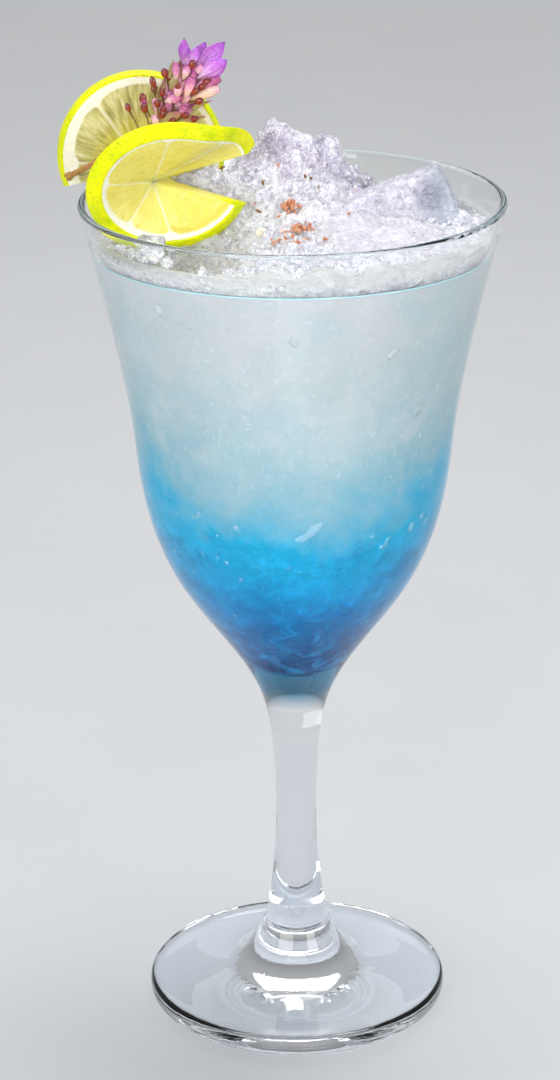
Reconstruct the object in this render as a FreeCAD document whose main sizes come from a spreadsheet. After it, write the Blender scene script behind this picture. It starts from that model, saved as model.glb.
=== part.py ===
"""Goblet of two-layer iced drink with crushed ice, two slit lime slices and a flower sprig.

Millimetres. The origin is the centre of the foot's underside, +Z up, and the drinker's side is -Y.
The glass is one revolved piece. The drink, the ice and the garnish take their sizes and places
from its rim and its cavity, so they follow when the glass changes.
"""
import FreeCAD
import Part
import math
import os
import Sketcher

Vector = FreeCAD.Vector
doc = FreeCAD.newDocument("iced_drink")

SIZES = [
    # the goblet's outside, from the foot up
    ("flat_radius", 28.5, "flat that the foot stands on"),
    ("foot_radius", 33.7, "outer pole of the foot's rounded edge"),
    ("foot_edge", 31.4, "where the rounded edge meets the faces"),
    ("edge_thickness", 4.8, "height of the foot's edge"),
    ("foot_mid_radius", 20.5, "middle pole of the foot's dished top"),
    ("foot_mid_height", 5.6, "height of that pole"),
    ("foot_root_radius", 10.6, "pole where the dished top turns upwards"),
    ("foot_root_height", 8.2, "height of that pole"),
    ("joint_radius", 7.6, "bead where the foot is joined to the stem"),
    ("joint_height", 17.3, "height of the bead"),
    ("crease_radius", 7.0, "crease above the bead"),
    ("crease_height", 18.2, "height of the crease"),
    ("collar_radius", 6.6, "lower end of the drawn stem"),
    ("collar_height", 20.0, "height of that end"),
    ("stem_low_radius", 4.0, "lower pole of the stem"),
    ("stem_low_height", 37.0, "height of that pole"),
    ("stem_top_radius", 4.7, "upper pole of the stem"),
    ("stem_top_height", 56.0, "height of that pole"),
    ("neck_radius", 6.0, "pole where the stem opens into the bowl"),
    ("neck_drop", 107.3, "depth of that pole below the rim"),
    ("shoulder_radius", 28.6, "pole of the bowl's rounded bottom"),
    ("shoulder_drop", 83.3, "its depth below the rim"),
    ("belly_radius", 34.3, "pole of the bowl's belly"),
    ("belly_drop", 57.3, "its depth below the rim"),
    ("waist_radius", 34.1, "pole above the belly"),
    ("waist_drop", 45.3, "its depth below the rim"),
    ("flare_run", 2.6, "how far the flare's pole is inside the rim"),
    ("flare_drop", 9.3, "its depth below the rim"),
    ("rim_radius", 45.0, "outside of the rim"),
    ("rim_height", 185.3, "where the rim's rounding starts"),
    # the goblet's wall
    ("rim_wall", 1.5, "wall at the rim"),
    ("flare_wall", 1.4, "wall at the flare's pole"),
    ("waist_wall", 2.2, "wall at the waist's pole"),
    ("belly_wall", 1.8, "wall at the belly's pole"),
    ("shoulder_wall", 3.4, "wall at the shoulder's pole"),
    ("cavity_turn_radius", 8.0, "pole where the cavity turns into its bottom"),
    ("cavity_turn_rise", 3.5, "height of that pole above the bottom"),
    ("cavity_flat_radius", 3.5, "pole of the cavity's flat bottom"),
    ("cavity_depth", 103.8, "bottom of the cavity below the rim"),
    # the drink
    ("fill_drop", 9.0, "surface of the drink below the rim"),
    ("blue_drop", 72.0, "mean boundary of the two layers below the rim"),
    ("blue_wave", 2.4, "how far the boundary waves up and down"),
    # the crushed ice above the drink
    ("ice_gap", 0.4, "ice to the glass"),
    ("ice_wall_drop", 3.6, "top of the ice at the wall below the rim"),
    ("ice_crown", 5.5, "rise of the ice towards the middle"),
    ("ice_crown_spread", 25.0, "radius of that rise"),
    ("mound_rise", 14.0, "rise of the mound behind the middle"),
    ("mound_spread", 9.5, "radius of the mound"),
    ("mound_x", -2.0, "place of the mound"),
    ("mound_y", 6.0, "place of the mound"),
    ("lump_rise", 8.0, "rise of the lump beside the mound"),
    ("lump_spread", 4.2, "radius of that lump"),
    ("lump_offset", 12.0, "from the mound to that lump"),
    ("pool_depth", 15.0, "how far the ice falls away where the surface is free"),
    ("pool_spread", 16.5, "radius of the free surface"),
    ("pool_x", 25.0, "place of the free surface"),
    ("pool_y", 26.0, "place of the free surface"),
    ("ice_relief", 0.7, "height of the crushed ice's unevenness"),
    # the large lump of ice
    ("block_length", 27.0, "large lump, across"),
    ("block_width", 8.0, "large lump, front to back"),
    ("block_height", 17.0, "large lump, upwards"),
    ("block_round", 3.2, "rounding of its long edges"),
    ("block_inset", 21.0, "its centre from the rim's inside"),
    ("block_lift", -3.0, "its centre above the rim"),
    ("block_tilt", 20.0, "how far its outer end is raised, degrees"),
    ("block_turn", -12.0, "its turn about the vertical, degrees"),
    # the front slice of lime
    ("front_radius", 19.5, "front slice's rind, at the back face"),
    ("front_bevel", 1.6, "how much smaller its front face is"),
    ("front_thickness", 3.0, "front slice's thickness"),
    ("front_cup", 53.3, "angle of its cup, degrees from the axis"),
    ("front_upper_flap", 74.0, "the same at the upper end of the slit"),
    ("front_lower_flap", 67.0, "the same at the lower end of the slit"),
    ("front_flap_reach", 25.6, "how far round each flap opens out, degrees"),
    ("front_slit_from", 350.4, "lower end of the slit, degrees from +X"),
    ("front_slit_to", 24.9, "upper end of the slit, degrees from +X"),
    ("front_offset", 4.9, "core to the slice's middle"),
    ("front_offset_angle", 67.3, "direction of that offset, degrees"),
    ("front_inset", 14.5, "core from the rim's inside, along X"),
    ("front_forward", 8.0, "core in front of the glass's axis"),
    ("front_lift", 7.3, "core above the rim"),
    ("front_turn", 10.9, "turn of its axis towards +X, degrees"),
    ("front_lean", -15.9, "lift of its axis, degrees"),
    # the back slice of lime
    ("back_radius", 17.3, "back slice's rind, at the back face"),
    ("back_bevel", 0.4, "how much smaller its front face is"),
    ("back_thickness", 3.2, "back slice's thickness"),
    ("back_cup", 80.0, "angle of its cup, degrees from the axis"),
    ("back_upper_flap", 84.0, "the same at the flap over the rim"),
    ("back_lower_flap", 86.0, "the same at the flap inside the glass"),
    ("back_flap_reach", 35.0, "how far round each flap opens out, degrees"),
    ("back_slit_from", 190.0, "end of the flap over the rim, degrees from +X"),
    ("back_slit_to", 245.0, "end of the flap inside the glass, degrees from +X"),
    ("back_offset", 3.3, "core to the slice's middle"),
    ("back_offset_angle", 100.0, "direction of that offset, degrees"),
    ("back_inset", 12.4, "core from the rim's inside, along X"),
    ("back_behind", 11.5, "its core behind the front slice's core"),
    ("back_lift", 6.4, "core above the rim"),
    ("back_turn", 6.0, "turn of its axis towards +X, degrees"),
    ("back_lean", 9.0, "lift of its axis, degrees"),
    ("core_radius", 0.7, "open core of both slices, where the slit ends"),
    ("slice_gap", 0.3, "slices to the glass"),
    # the sprig between the slices
    ("sprig_radius", 0.6, "radius of its stem"),
    ("sprig_behind", 3.4, "stem behind the front slice's core"),
    ("sprig_outside", 18.4, "free end, outwards from the front slice's core"),
    ("sprig_end_drop", 1.0, "free end below that core"),
    ("sprig_knee_outside", 8.5, "stem's bend, outwards from that core"),
    ("sprig_knee_rise", 4.2, "stem's bend above that core"),
    ("sprig_bend", 8.0, "radius of the bend"),
    ("head_inside", 2.2, "base of the flower head, inwards from that core"),
    ("head_rise", 10.4, "base of the flower head above that core"),
    ("head_length", 18.5, "length of the flower head"),
    ("head_radius", 5.8, "radius of its buds"),
    ("head_neck", 3.6, "radius between the buds and the top petals"),
    ("petal_radius", 5.2, "radius of the top petals"),
    ("head_slope", 56.0, "slope of its axis, degrees"),
    ("head_lobes", 0.16, "unevenness of its outline, as a share of the radius"),
]

sheet = doc.addObject("Spreadsheet::Sheet", "Sizes")
for row, (alias, number, note) in enumerate(SIZES, start=1):
    sheet.set("A%d" % row, alias)
    sheet.set("B%d" % row, str(number))
    sheet.set("C%d" % row, note)
    sheet.setAlias("B%d" % row, alias)
doc.recompute()


def size(alias):
    """The value of one cell."""
    return float(sheet.get(alias))


def value(text):
    """The value of a sum of aliases and numbers, such as "rim_radius - rim_wall"."""
    total = 0.0
    sign = 1.0
    for word in text.split():
        if word in "+-":
            sign = 1.0 if word == "+" else -1.0
        elif word[0].isdigit():
            total += sign * float(word)
        else:
            total += sign * size(word)
    return total


def formula(text):
    """The same sum as a document expression."""
    return " ".join(word if word in "+-" or word[0].isdigit() else "Sizes." + word for word in text.split())


# ---------------------------------------------------------------- sketches

def new_body(label):
    body = doc.addObject("PartDesign::Body", label)
    body.Label = label
    return body


def sketch_on(body, role, name):
    """A sketch on one of the body's own origin planes."""
    plane = next(item for item in body.Origin.OriginFeatures if item.Role == role)
    sketch = body.newObject("Sketcher::SketchObject", name)
    sketch.AttachmentSupport = [(plane, "")]
    sketch.MapMode = "FlatFace"
    return sketch


def pin(sketch, edge, end, point):
    """Hold one point of an edge at a radius and a height given by the sheet."""
    for kind, axis, text in (("DistanceX", -2, point[0]), ("DistanceY", -1, point[1])):
        if text == "0":
            sketch.addConstraint(Sketcher.Constraint("PointOnObject", edge, end, axis))
        else:
            index = sketch.addConstraint(Sketcher.Constraint(kind, -1, 1, edge, end, value(text)))
            sketch.setExpression("Constraints[%d]" % index, formula(text))


def place(point):
    return Vector(value(point[0]), value(point[1]), 0)


def add_line(sketch, start, end):
    edge = sketch.addGeometry(Part.LineSegment(place(start), place(end)), False)
    pin(sketch, edge, 1, start)
    pin(sketch, edge, 2, end)


def even_spline(poles):
    """A cubic spline with even knots that starts at the first pole and ends at the last."""
    spans = len(poles) - 3
    knots = [step / spans for step in range(spans + 1)]
    multiplicities = [4] + [1] * (spans - 1) + [4]
    curve = Part.BSplineCurve()
    curve.buildFromPolesMultsKnots(poles, multiplicities, knots, False, 3)
    return curve


def add_spline(sketch, stations):
    """A spline whose poles are each held by the sheet."""
    edge = sketch.addGeometry(even_spline([place(station) for station in stations]), False)
    sketch.exposeInternalGeometry(edge)
    for step, station in enumerate(stations, start=1):
        pin(sketch, edge + step, 3, station)
    return edge


def revolve(body, sketch, name):
    solid = body.newObject("PartDesign::Revolution", name)
    solid.Profile = sketch
    solid.ReferenceAxis = (sketch, ["V_Axis"])
    solid.Angle = 360.0
    return solid


# ---------------------------------------------------------------- goblet

FOOT_EDGE = [
    ("flat_radius", "0"),
    ("foot_edge", "0"),
    ("foot_radius", "0"),
    ("foot_radius", "edge_thickness"),
    ("foot_edge", "edge_thickness"),
    ("foot_mid_radius", "foot_mid_height"),
    ("foot_root_radius", "foot_root_height"),
    ("joint_radius", "joint_height"),
]
OUTSIDE = [
    ("collar_radius", "collar_height"),
    ("stem_low_radius", "stem_low_height"),
    ("stem_top_radius", "stem_top_height"),
    ("neck_radius", "rim_height - neck_drop"),
    ("shoulder_radius", "rim_height - shoulder_drop"),
    ("belly_radius", "rim_height - belly_drop"),
    ("waist_radius", "rim_height - waist_drop"),
    ("rim_radius - flare_run", "rim_height - flare_drop"),
    ("rim_radius", "rim_height"),
]
INSIDE = [
    ("rim_radius - rim_wall", "rim_height"),
    ("rim_radius - flare_run - flare_wall", "rim_height - flare_drop"),
    ("waist_radius - waist_wall", "rim_height - waist_drop"),
    ("belly_radius - belly_wall", "rim_height - belly_drop"),
    ("shoulder_radius - shoulder_wall", "rim_height - shoulder_drop"),
    ("cavity_turn_radius", "rim_height - cavity_depth + cavity_turn_rise"),
    ("cavity_flat_radius", "rim_height - cavity_depth"),
    ("0", "rim_height - cavity_depth"),
]


def make_goblet():
    """Foot, stem and bowl in one turned piece with a rounded rim."""
    body = new_body("goblet")
    sketch = sketch_on(body, "XZ_Plane", "goblet_profile")
    joint = [
        ("joint_radius", "joint_height"),
        ("crease_radius", "crease_height"),
        ("collar_radius", "collar_height"),
    ]
    for start, end in zip(joint, joint[1:]):
        add_line(sketch, start, end)
    add_line(sketch, ("0", "0"), FOOT_EDGE[0])
    add_spline(sketch, FOOT_EDGE)
    outside = add_spline(sketch, OUTSIDE)
    inside = add_spline(sketch, INSIDE)
    outer = place(OUTSIDE[-1])
    inner = place(INSIDE[0])
    middle = (outer + inner) * 0.5
    lip = Part.Arc(outer, middle + Vector(0, (outer.x - inner.x) / 2, 0), inner)
    rounding = sketch.addGeometry(lip, False)
    sketch.addConstraint(Sketcher.Constraint("Coincident", rounding, 1, outside, 2))
    sketch.addConstraint(Sketcher.Constraint("Coincident", rounding, 2, inside, 1))
    height = sketch.addConstraint(Sketcher.Constraint("DistanceY", -1, 1, rounding, 3, value("rim_height")))
    sketch.setExpression("Constraints[%d]" % height, formula("rim_height"))
    add_line(sketch, INSIDE[-1], ("0", "0"))
    revolve(body, sketch, "goblet_turned")
    return body


def make_cavity():
    """The room inside the goblet up to the rim, which the contents are cut from."""
    body = new_body("cavity")
    sketch = sketch_on(body, "XZ_Plane", "cavity_profile")
    add_spline(sketch, INSIDE)
    add_line(sketch, INSIDE[-1], ("0", "rim_height"))
    add_line(sketch, ("0", "rim_height"), INSIDE[0])
    revolve(body, sketch, "cavity_turned")
    return body


inside_curve = even_spline([place(station) for station in INSIDE])
INSIDE_POINTS = [inside_curve.value(step / 200.0) for step in range(201)]


def inside_radius(height):
    """The cavity's radius at a height below the rim."""
    for upper, lower in zip(INSIDE_POINTS, INSIDE_POINTS[1:]):
        if lower.y <= height <= upper.y:
            share = (height - lower.y) / max(upper.y - lower.y, 1e-9)
            return lower.x + share * (upper.x - lower.x)
    return 0.0


# ---------------------------------------------------------------- helpers for shapes

def feature(label, shape):
    item = doc.addObject("Part::Feature", label)
    item.Label = label
    item.Shape = shape
    return item


def boolean(kind, label, base, tool):
    item = doc.addObject(kind, label)
    item.Label = label
    item.Base = base
    item.Tool = tool
    return item


def under_surface(label, height, reach, steps, depth):
    """A solid under the smooth surface z = height(x, y) over a square round the axis."""
    coordinates = [-reach + 2.0 * reach * step / steps for step in range(steps + 1)]
    grid = [[Vector(x, y, height(x, y)) for y in coordinates] for x in coordinates]
    surface = Part.BSplineSurface()
    surface.interpolate(grid)
    return feature(label, surface.toShape().extrude(Vector(0, 0, -depth)))


def bump(x, y, centre_x, centre_y, spread):
    """A smooth bump of height 1 that falls away over its spread."""
    return math.exp(-((x - centre_x) ** 2 + (y - centre_y) ** 2) / spread ** 2)


# ---------------------------------------------------------------- slices of lime

def slice_numbers(name):
    """The sizes of one slice, angles in radians."""
    keys = ("radius", "bevel", "thickness", "offset")
    angles = ("cup", "upper_flap", "lower_flap", "flap_reach", "slit_from", "slit_to")
    numbers = {key: size(name + "_" + key) for key in keys}
    for key in angles + ("offset_angle", "turn", "lean"):
        numbers[key] = math.radians(size(name + "_" + key))
    numbers["core"] = size("core_radius")
    return numbers


def slice_profile(one, angle):
    """Corners of the slice's section at an angle, as (distance from the axis, height along it).

    The section is straight from the core to the rind. It leans forward by the cup's angle, which
    opens out towards the two flaps. The rind stands on a circle round a point beside the core.
    """
    from_end = one["upper_flap"] - one["cup"]
    to_end = one["lower_flap"] - one["cup"]
    cup = one["cup"] + from_end * math.exp(-((angle - one["start"]) / one["flap_reach"]) ** 2)
    cup += to_end * math.exp(-((angle - one["stop"]) / one["flap_reach"]) ** 2)
    sine, cosine = math.sin(cup), math.cos(cup)
    half = one["thickness"] / 2
    along = one["offset"] * math.cos(angle - one["offset_angle"])
    rest = one["offset"] ** 2 - along ** 2
    back = along + math.sqrt(one["radius"] ** 2 - rest)
    front = along + math.sqrt((one["radius"] - one["bevel"]) ** 2 - rest)
    core = one["core"]
    rim = (front + back) / 2 + 0.12 * one["thickness"]
    return [
        (core, core * cosine / sine + half / sine),
        (front * sine - half * cosine, front * cosine + half * sine),
        (rim * sine, rim * cosine),
        (back * sine + half * cosine, back * cosine - half * sine),
        (core, core * cosine / sine - half / sine),
    ]


def slice_axes(one):
    """Unit vectors of the slice: forward along its axis, to the right and up."""
    level = math.cos(one["lean"])
    forward = Vector(math.sin(one["turn"]) * level, -math.cos(one["turn"]) * level, math.sin(one["lean"]))
    right = Vector(0, 0, 1).cross(forward)
    right.normalize()
    return forward, right, forward.cross(right)


def slice_points(one, core, angle):
    forward, right, up = slice_axes(one)
    outward = right * math.cos(angle) + up * math.sin(angle)
    return [core + outward * out + forward * ahead for out, ahead in slice_profile(one, angle)]


def slice_angles(one, count):
    step = (one["stop"] - one["start"]) / (count - 1)
    return [one["start"] + step * index for index in range(count)]


def seat(one, core):
    """Move the slice's core level towards the glass's axis until the rind clears the wall."""
    gap = size("slice_gap")
    rim = size("rim_height") + size("rim_wall") / 2
    outward = Vector(core.x, core.y, 0)
    outward.normalize()
    for turn in range(30):
        worst = 0.0
        for angle in slice_angles(one, 61):
            for point in slice_points(one, core, angle)[1:4]:
                if point.z < rim + gap:
                    room = inside_radius(min(point.z, size("rim_height"))) - gap
                    worst = max(worst, math.hypot(point.x, point.y) - room)
        if worst <= 0:
            break
        core = core - outward * worst
    return core


def make_slice(label, one, core):
    """A slit slice lofted through its sections from one end of the slit round to the other."""
    sections = []
    for angle in slice_angles(one, 33):
        inner_front, front, rim, back, inner_back = slice_points(one, core, angle)
        edges = [
            Part.makeLine(inner_front, front),
            Part.Arc(front, rim, back).toShape(),
            Part.makeLine(back, inner_back),
            Part.makeLine(inner_back, inner_front),
        ]
        sections.append(Part.Wire(edges))
    return feature(label, Part.makeLoft(sections, True, False))


rim_inside = size("rim_radius") - size("rim_wall")
front = slice_numbers("front")
front["start"] = front["slit_to"]
front["stop"] = front["slit_from"]
front_core = Vector(size("front_inset") - rim_inside, -size("front_forward"),
                    size("rim_height") + size("front_lift"))
front_core = seat(front, front_core)

back = slice_numbers("back")
back["start"] = back["slit_to"] - 2 * math.pi
back["stop"] = back["slit_from"]
back["upper_flap"], back["lower_flap"] = back["lower_flap"], back["upper_flap"]
back_core = Vector(size("back_inset") - rim_inside, front_core.y + size("back_behind"),
                   size("rim_height") + size("back_lift"))
back_core = seat(back, back_core)


# ---------------------------------------------------------------- sprig

def make_sprig_stem():
    """A round stem with one bend, in a plane between the two slices."""
    plane = front_core.y + size("sprig_behind")
    end = Vector(front_core.x - size("sprig_outside"), plane, front_core.z - size("sprig_end_drop"))
    knee = Vector(front_core.x - size("sprig_knee_outside"), plane, front_core.z + size("sprig_knee_rise"))
    top = Vector(front_core.x + size("head_inside"), plane, front_core.z + size("head_rise"))
    first = knee - end
    first.normalize()
    second = top - knee
    second.normalize()
    half_turn = first.getAngle(second) / 2
    reach = size("sprig_bend") * math.tan(half_turn)
    bend_start = knee - first * reach
    bend_end = knee + second * reach
    inward = second - first
    inward.normalize()
    middle = knee + inward * (size("sprig_bend") / math.cos(half_turn) - size("sprig_bend"))
    path = Part.Wire([
        Part.makeLine(end, bend_start),
        Part.Arc(bend_start, middle, bend_end).toShape(),
        Part.makeLine(bend_end, top),
    ])
    section = Part.Wire(Part.makeCircle(size("sprig_radius"), end, first))
    return feature("sprig_stem", path.makePipeShell([section], True, True)), top


def make_flower_head(base):
    """A spike of buds with a tuft of petals at its top, as one lobed outline."""
    slope = math.radians(size("head_slope"))
    axis = Vector(math.cos(slope), 0, math.sin(slope))
    across = Vector(0, 1, 0)
    side = axis.cross(across)
    stations = [
        (0.00, size("sprig_radius") * 2.5),
        (0.12, size("head_radius") * 0.8),
        (0.32, size("head_radius")),
        (0.52, (size("head_radius") + size("head_neck")) / 2),
        (0.68, size("head_neck")),
        (0.84, size("petal_radius")),
        (0.95, size("petal_radius") * 0.75),
        (1.00, size("petal_radius") * 0.3),
    ]
    rings = []
    for share, radius in stations:
        centre = base + axis * (size("head_length") * share)
        ring = []
        for step in range(17):
            angle = math.pi * (step % 16) / 8
            lobes = math.sin(3 * angle + 5 * share) + 0.4 * math.sin(5 * angle - 6 * share)
            reach = radius * (1 + size("head_lobes") * lobes * math.sin(math.pi * share))
            ring.append(centre + side * (reach * math.cos(angle)) + across * (0.85 * reach * math.sin(angle)))
        rings.append(ring)
    surface = Part.BSplineSurface()
    surface.interpolate(rings)
    skin = surface.toShape()
    ends = [Part.Face(Part.Wire(edge)) for edge in skin.Edges if edge.isClosed()]
    shell = Part.makeShell([skin] + ends)
    shell.sewShape()
    return feature("head_outline", Part.makeSolid(shell))


# ---------------------------------------------------------------- ice and drink

def ice_height(x, y):
    """The top of the crushed ice: a crown, a mound with a lump beside it, and a free pool behind."""
    mound_x, mound_y = size("mound_x"), size("mound_y")
    top = size("rim_height") - size("ice_wall_drop")
    top += size("ice_crown") * bump(x, y, 0, 0, size("ice_crown_spread"))
    top += size("mound_rise") * bump(x, y, mound_x, mound_y, size("mound_spread"))
    top += size("lump_rise") * bump(x, y, mound_x + size("lump_offset"), mound_y, size("lump_spread"))
    top -= size("pool_depth") * bump(x, y, size("pool_x"), size("pool_y"), size("pool_spread"))
    ripple = math.sin(0.42 * x + 0.25 * y) * math.cos(0.37 * y - 0.20 * x + 1.0)
    ripple += 0.7 * math.sin(0.52 * y + 0.5) * math.sin(0.45 * x + 2.0)
    return top + size("ice_relief") * ripple


def layer_height(x, y):
    """The waving boundary between the blue and the white drink."""
    wave = math.cos(0.062 * x) * math.cos(0.05 * y) - 0.45 + 0.35 * math.sin(0.19 * x + 0.13 * y)
    return size("rim_height") - size("blue_drop") + size("blue_wave") * wave


def make_block():
    """The large lump of ice: a padded block with rounded long edges, tilted against the mound."""
    body = new_body("ice_block")
    sketch = sketch_on(body, "XZ_Plane", "block_section")
    corners = [Vector(-13, -8, 0), Vector(13, -8, 0), Vector(13, 8, 0), Vector(-13, 8, 0)]
    for start, end in zip(corners, corners[1:] + corners[:1]):
        sketch.addGeometry(Part.LineSegment(start, end), False)
    for edge in range(4):
        sketch.addConstraint(Sketcher.Constraint("Coincident", edge, 2, (edge + 1) % 4, 1))
        sketch.addConstraint(Sketcher.Constraint("Vertical" if edge % 2 else "Horizontal", edge))
    sketch.addConstraint(Sketcher.Constraint("Symmetric", 0, 1, 2, 1, -1, 1))
    for edge, alias in ((0, "block_length"), (1, "block_height")):
        index = sketch.addConstraint(Sketcher.Constraint("Distance", edge, size(alias)))
        sketch.setExpression("Constraints[%d]" % index, "Sizes." + alias)
    pad = body.newObject("PartDesign::Pad", "block_pad")
    pad.Profile = sketch
    pad.SideType = "Symmetric"
    pad.setExpression("Length", "Sizes.block_width")
    doc.recompute()
    rounded = body.newObject("PartDesign::Fillet", "block_rounding")
    along = [index for index, edge in enumerate(pad.Shape.Edges, start=1)
             if abs(edge.tangentAt(edge.FirstParameter).y) > 0.99]
    rounded.Base = (pad, ["Edge%d" % index for index in along])
    rounded.setExpression("Radius", "Sizes.block_round")
    turn = FreeCAD.Rotation(Vector(0, 0, 1), size("block_turn"))
    tilt = FreeCAD.Rotation(Vector(0, 1, 0), -size("block_tilt"))
    centre = Vector(rim_inside - size("block_inset"), 0, size("rim_height") + size("block_lift"))
    body.Placement = FreeCAD.Placement(centre, turn.multiply(tilt))
    return body


goblet = make_goblet()
cavity = make_cavity()
lime_front = make_slice("lime_front", front, front_core)
lime_back = make_slice("lime_back", back, back_core)
sprig_stem, head_base = make_sprig_stem()
head_outline = make_flower_head(head_base)
flower_head = boolean("Part::Cut", "flower_head", head_outline, sprig_stem)
ice_block = make_block()
doc.recompute()

garnish = doc.addObject("Part::Compound", "garnish")
garnish.Links = [lime_front, lime_back, sprig_stem, ice_block]

filled = doc.addObject("Part::Cylinder", "filled")
filled.setExpression("Radius", "Sizes.rim_radius")
filled.setExpression("Height", "Sizes.rim_height - Sizes.fill_drop")
drink = boolean("Part::Common", "drink", cavity, filled)
lower_zone = under_surface("lower_zone", layer_height, size("rim_radius"), 12, size("rim_height"))
drink_blue = boolean("Part::Common", "drink_blue", drink, lower_zone)
upper_zone = boolean("Part::Cut", "upper_zone", drink, lower_zone)
drink_white = boolean("Part::Cut", "drink_white", upper_zone, garnish)

ice_room = doc.addObject("Part::Cone", "ice_room")
room_low = size("rim_height") - size("fill_drop")
ice_room.Radius1 = inside_radius(room_low) - size("ice_gap")
ice_room.Radius2 = rim_inside - size("ice_gap")
ice_room.setExpression("Height", "Sizes.fill_drop")
ice_room.Placement.Base = Vector(0, 0, room_low)
ice_above = doc.addObject("Part::Cylinder", "ice_above")
ice_above.Radius = rim_inside - size("ice_gap")
ice_above.Height = size("mound_rise") + size("ice_crown") + size("lump_rise")
ice_above.Placement.Base = Vector(0, 0, size("rim_height"))
ice_space = boolean("Part::Fuse", "ice_space", ice_room, ice_above)
ice_zone = under_surface("ice_zone", ice_height, size("rim_radius"), 20, size("rim_height"))
ice_whole = boolean("Part::Common", "ice_whole", ice_space, ice_zone)
ice_heap = boolean("Part::Cut", "ice_heap", ice_whole, garnish)
doc.recompute()

NODES = [goblet, drink_blue, drink_white, ice_heap, ice_block, lime_front, lime_back, sprig_stem, flower_head]

for item in doc.Objects:
    if "Invalid" in item.State or "Error" in item.State:
        raise RuntimeError("%s failed: %s" % (item.Label, item.State))
for item in NODES:
    if item.Shape.isNull() or not item.Shape.isValid():
        raise RuntimeError("%s has no valid shape" % item.Label)

os.makedirs("parts", exist_ok=True)
for item in NODES:
    item.Shape.exportStep("parts/%s.step" % item.Label)
    box = item.Shape.BoundBox
    print("%-12s %d solid(s) %9.1f mm3  x %.1f..%.1f  y %.1f..%.1f  z %.1f..%.1f" % (
        item.Label, len(item.Shape.Solids), item.Shape.Volume,
        box.XMin, box.XMax, box.YMin, box.YMax, box.ZMin, box.ZMax))
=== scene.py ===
"""A stemmed goblet of iced drink: white slush over blue, crushed ice, two lime slices and a flower sprig.

Sizes and places are in millimetres in the frame of the CAD model, and a mesh holds them in metres.
"""

import math

import bpy
import numpy as np
from numpy.random import default_rng
from mathutils import Matrix, Vector


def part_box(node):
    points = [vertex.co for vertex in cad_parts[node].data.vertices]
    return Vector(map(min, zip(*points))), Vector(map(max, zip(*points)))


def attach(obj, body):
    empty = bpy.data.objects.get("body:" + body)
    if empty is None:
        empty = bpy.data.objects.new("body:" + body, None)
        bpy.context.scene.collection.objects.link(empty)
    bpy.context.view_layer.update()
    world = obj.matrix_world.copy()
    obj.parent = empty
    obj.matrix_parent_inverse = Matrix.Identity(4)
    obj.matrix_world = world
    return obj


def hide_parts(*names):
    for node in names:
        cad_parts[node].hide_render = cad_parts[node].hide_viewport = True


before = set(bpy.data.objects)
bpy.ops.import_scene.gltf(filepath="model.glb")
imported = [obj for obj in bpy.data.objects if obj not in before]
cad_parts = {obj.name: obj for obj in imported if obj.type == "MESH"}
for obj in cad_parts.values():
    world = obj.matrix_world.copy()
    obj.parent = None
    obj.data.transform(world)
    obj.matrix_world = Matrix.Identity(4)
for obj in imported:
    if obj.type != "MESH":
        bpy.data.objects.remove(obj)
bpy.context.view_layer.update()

MM = 0.001  # metres in a millimetre


# ---- sizes of the glass and its contents

def corners(node):
    """Lowest and highest corner of a CAD node, in millimetres."""
    low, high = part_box(node)
    return np.array(low) / MM, np.array(high) / MM


RIM_RADIUS, RIM = corners("goblet")[1][[0, 2]]
DRINK_LEVEL = corners("drink_white")[1][2]
DRINK_BOTTOM = corners("drink_blue")[0][2]

# Control points of the bowl's inner wall, as radius and height, from the lip down to the axis.
INNER_WALL = [
    (RIM_RADIUS - 1.5, RIM - 0.75), (41, 176), (31.9, 140), (32.5, 128), (25.2, 102), (8, 85),
    (3.5, DRINK_BOTTOM), (0, DRINK_BOTTOM),
]
WALL_REACH = 0.25  # how far the drink goes into the wall, so that no air gap shows

LAYER_HEIGHT = 113.3
LAYER_WAVE = 2.4

# Middles of the swellings and hollows of the crushed ice, seen from above.
MOUND = (-2, 6)
LUMP = (10, 6)
POOL = (25, 26)
APRON = (19, -20)

SPRIG_DEPTH = -4.6  # the plane of the sprig's stem
HEAD_BASE = (-26.8, 203)
HEAD_SLOPE = 56
HEAD_LENGTH = 18.5


# ---- shapes as formulas

def unit(vectors):
    """Vectors of length one."""
    return vectors / np.linalg.norm(vectors, axis=-1, keepdims=True)


def smooth_line(poles, count):
    """A clamped cubic B-spline of evenly spaced knots, by the Cox-de Boor recursion on whole arrays."""
    poles = np.asarray(poles, float)
    knots = np.concatenate([np.zeros(3), np.linspace(0, 1, len(poles) - 2), np.ones(3)])
    place = np.linspace(0, 1 - 1e-9, count)[:, None]
    weight = ((knots[:-1] <= place) & (place < knots[1:])).astype(float)
    for degree in (1, 2, 3):
        span = knots[degree:] - knots[:-degree]
        span = np.where(span > 0, span, 1)
        rising = (place - knots[:-degree - 1]) / span[:-1]
        falling = (knots[degree + 1:] - place) / span[1:]
        weight = rising * weight[:, :-1] + falling * weight[:, 1:]
    return weight @ poles


WALL_LINE = smooth_line(INNER_WALL, 600)[::-1]


def wall_radius(height):
    """Radius of the bowl's inner wall at a height."""
    return np.interp(height, WALL_LINE[:, 1], WALL_LINE[:, 0])


def bowl_floor(radius):
    """Height of the bowl's inner wall at a radius, below its widest part."""
    low = WALL_LINE[:, 1] < LAYER_HEIGHT + 10
    return np.interp(radius, WALL_LINE[low, 0], WALL_LINE[low, 1])


def held_in(rows, past=WALL_REACH):
    """Points drawn in towards the axis, so that none is further past the inner wall."""
    limit = wall_radius(rows[..., 2]) + past
    radius = np.hypot(rows[..., 0], rows[..., 1])
    rows[..., :2] *= np.minimum(1, limit / np.maximum(radius, 1e-6))[..., None]
    return rows


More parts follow.
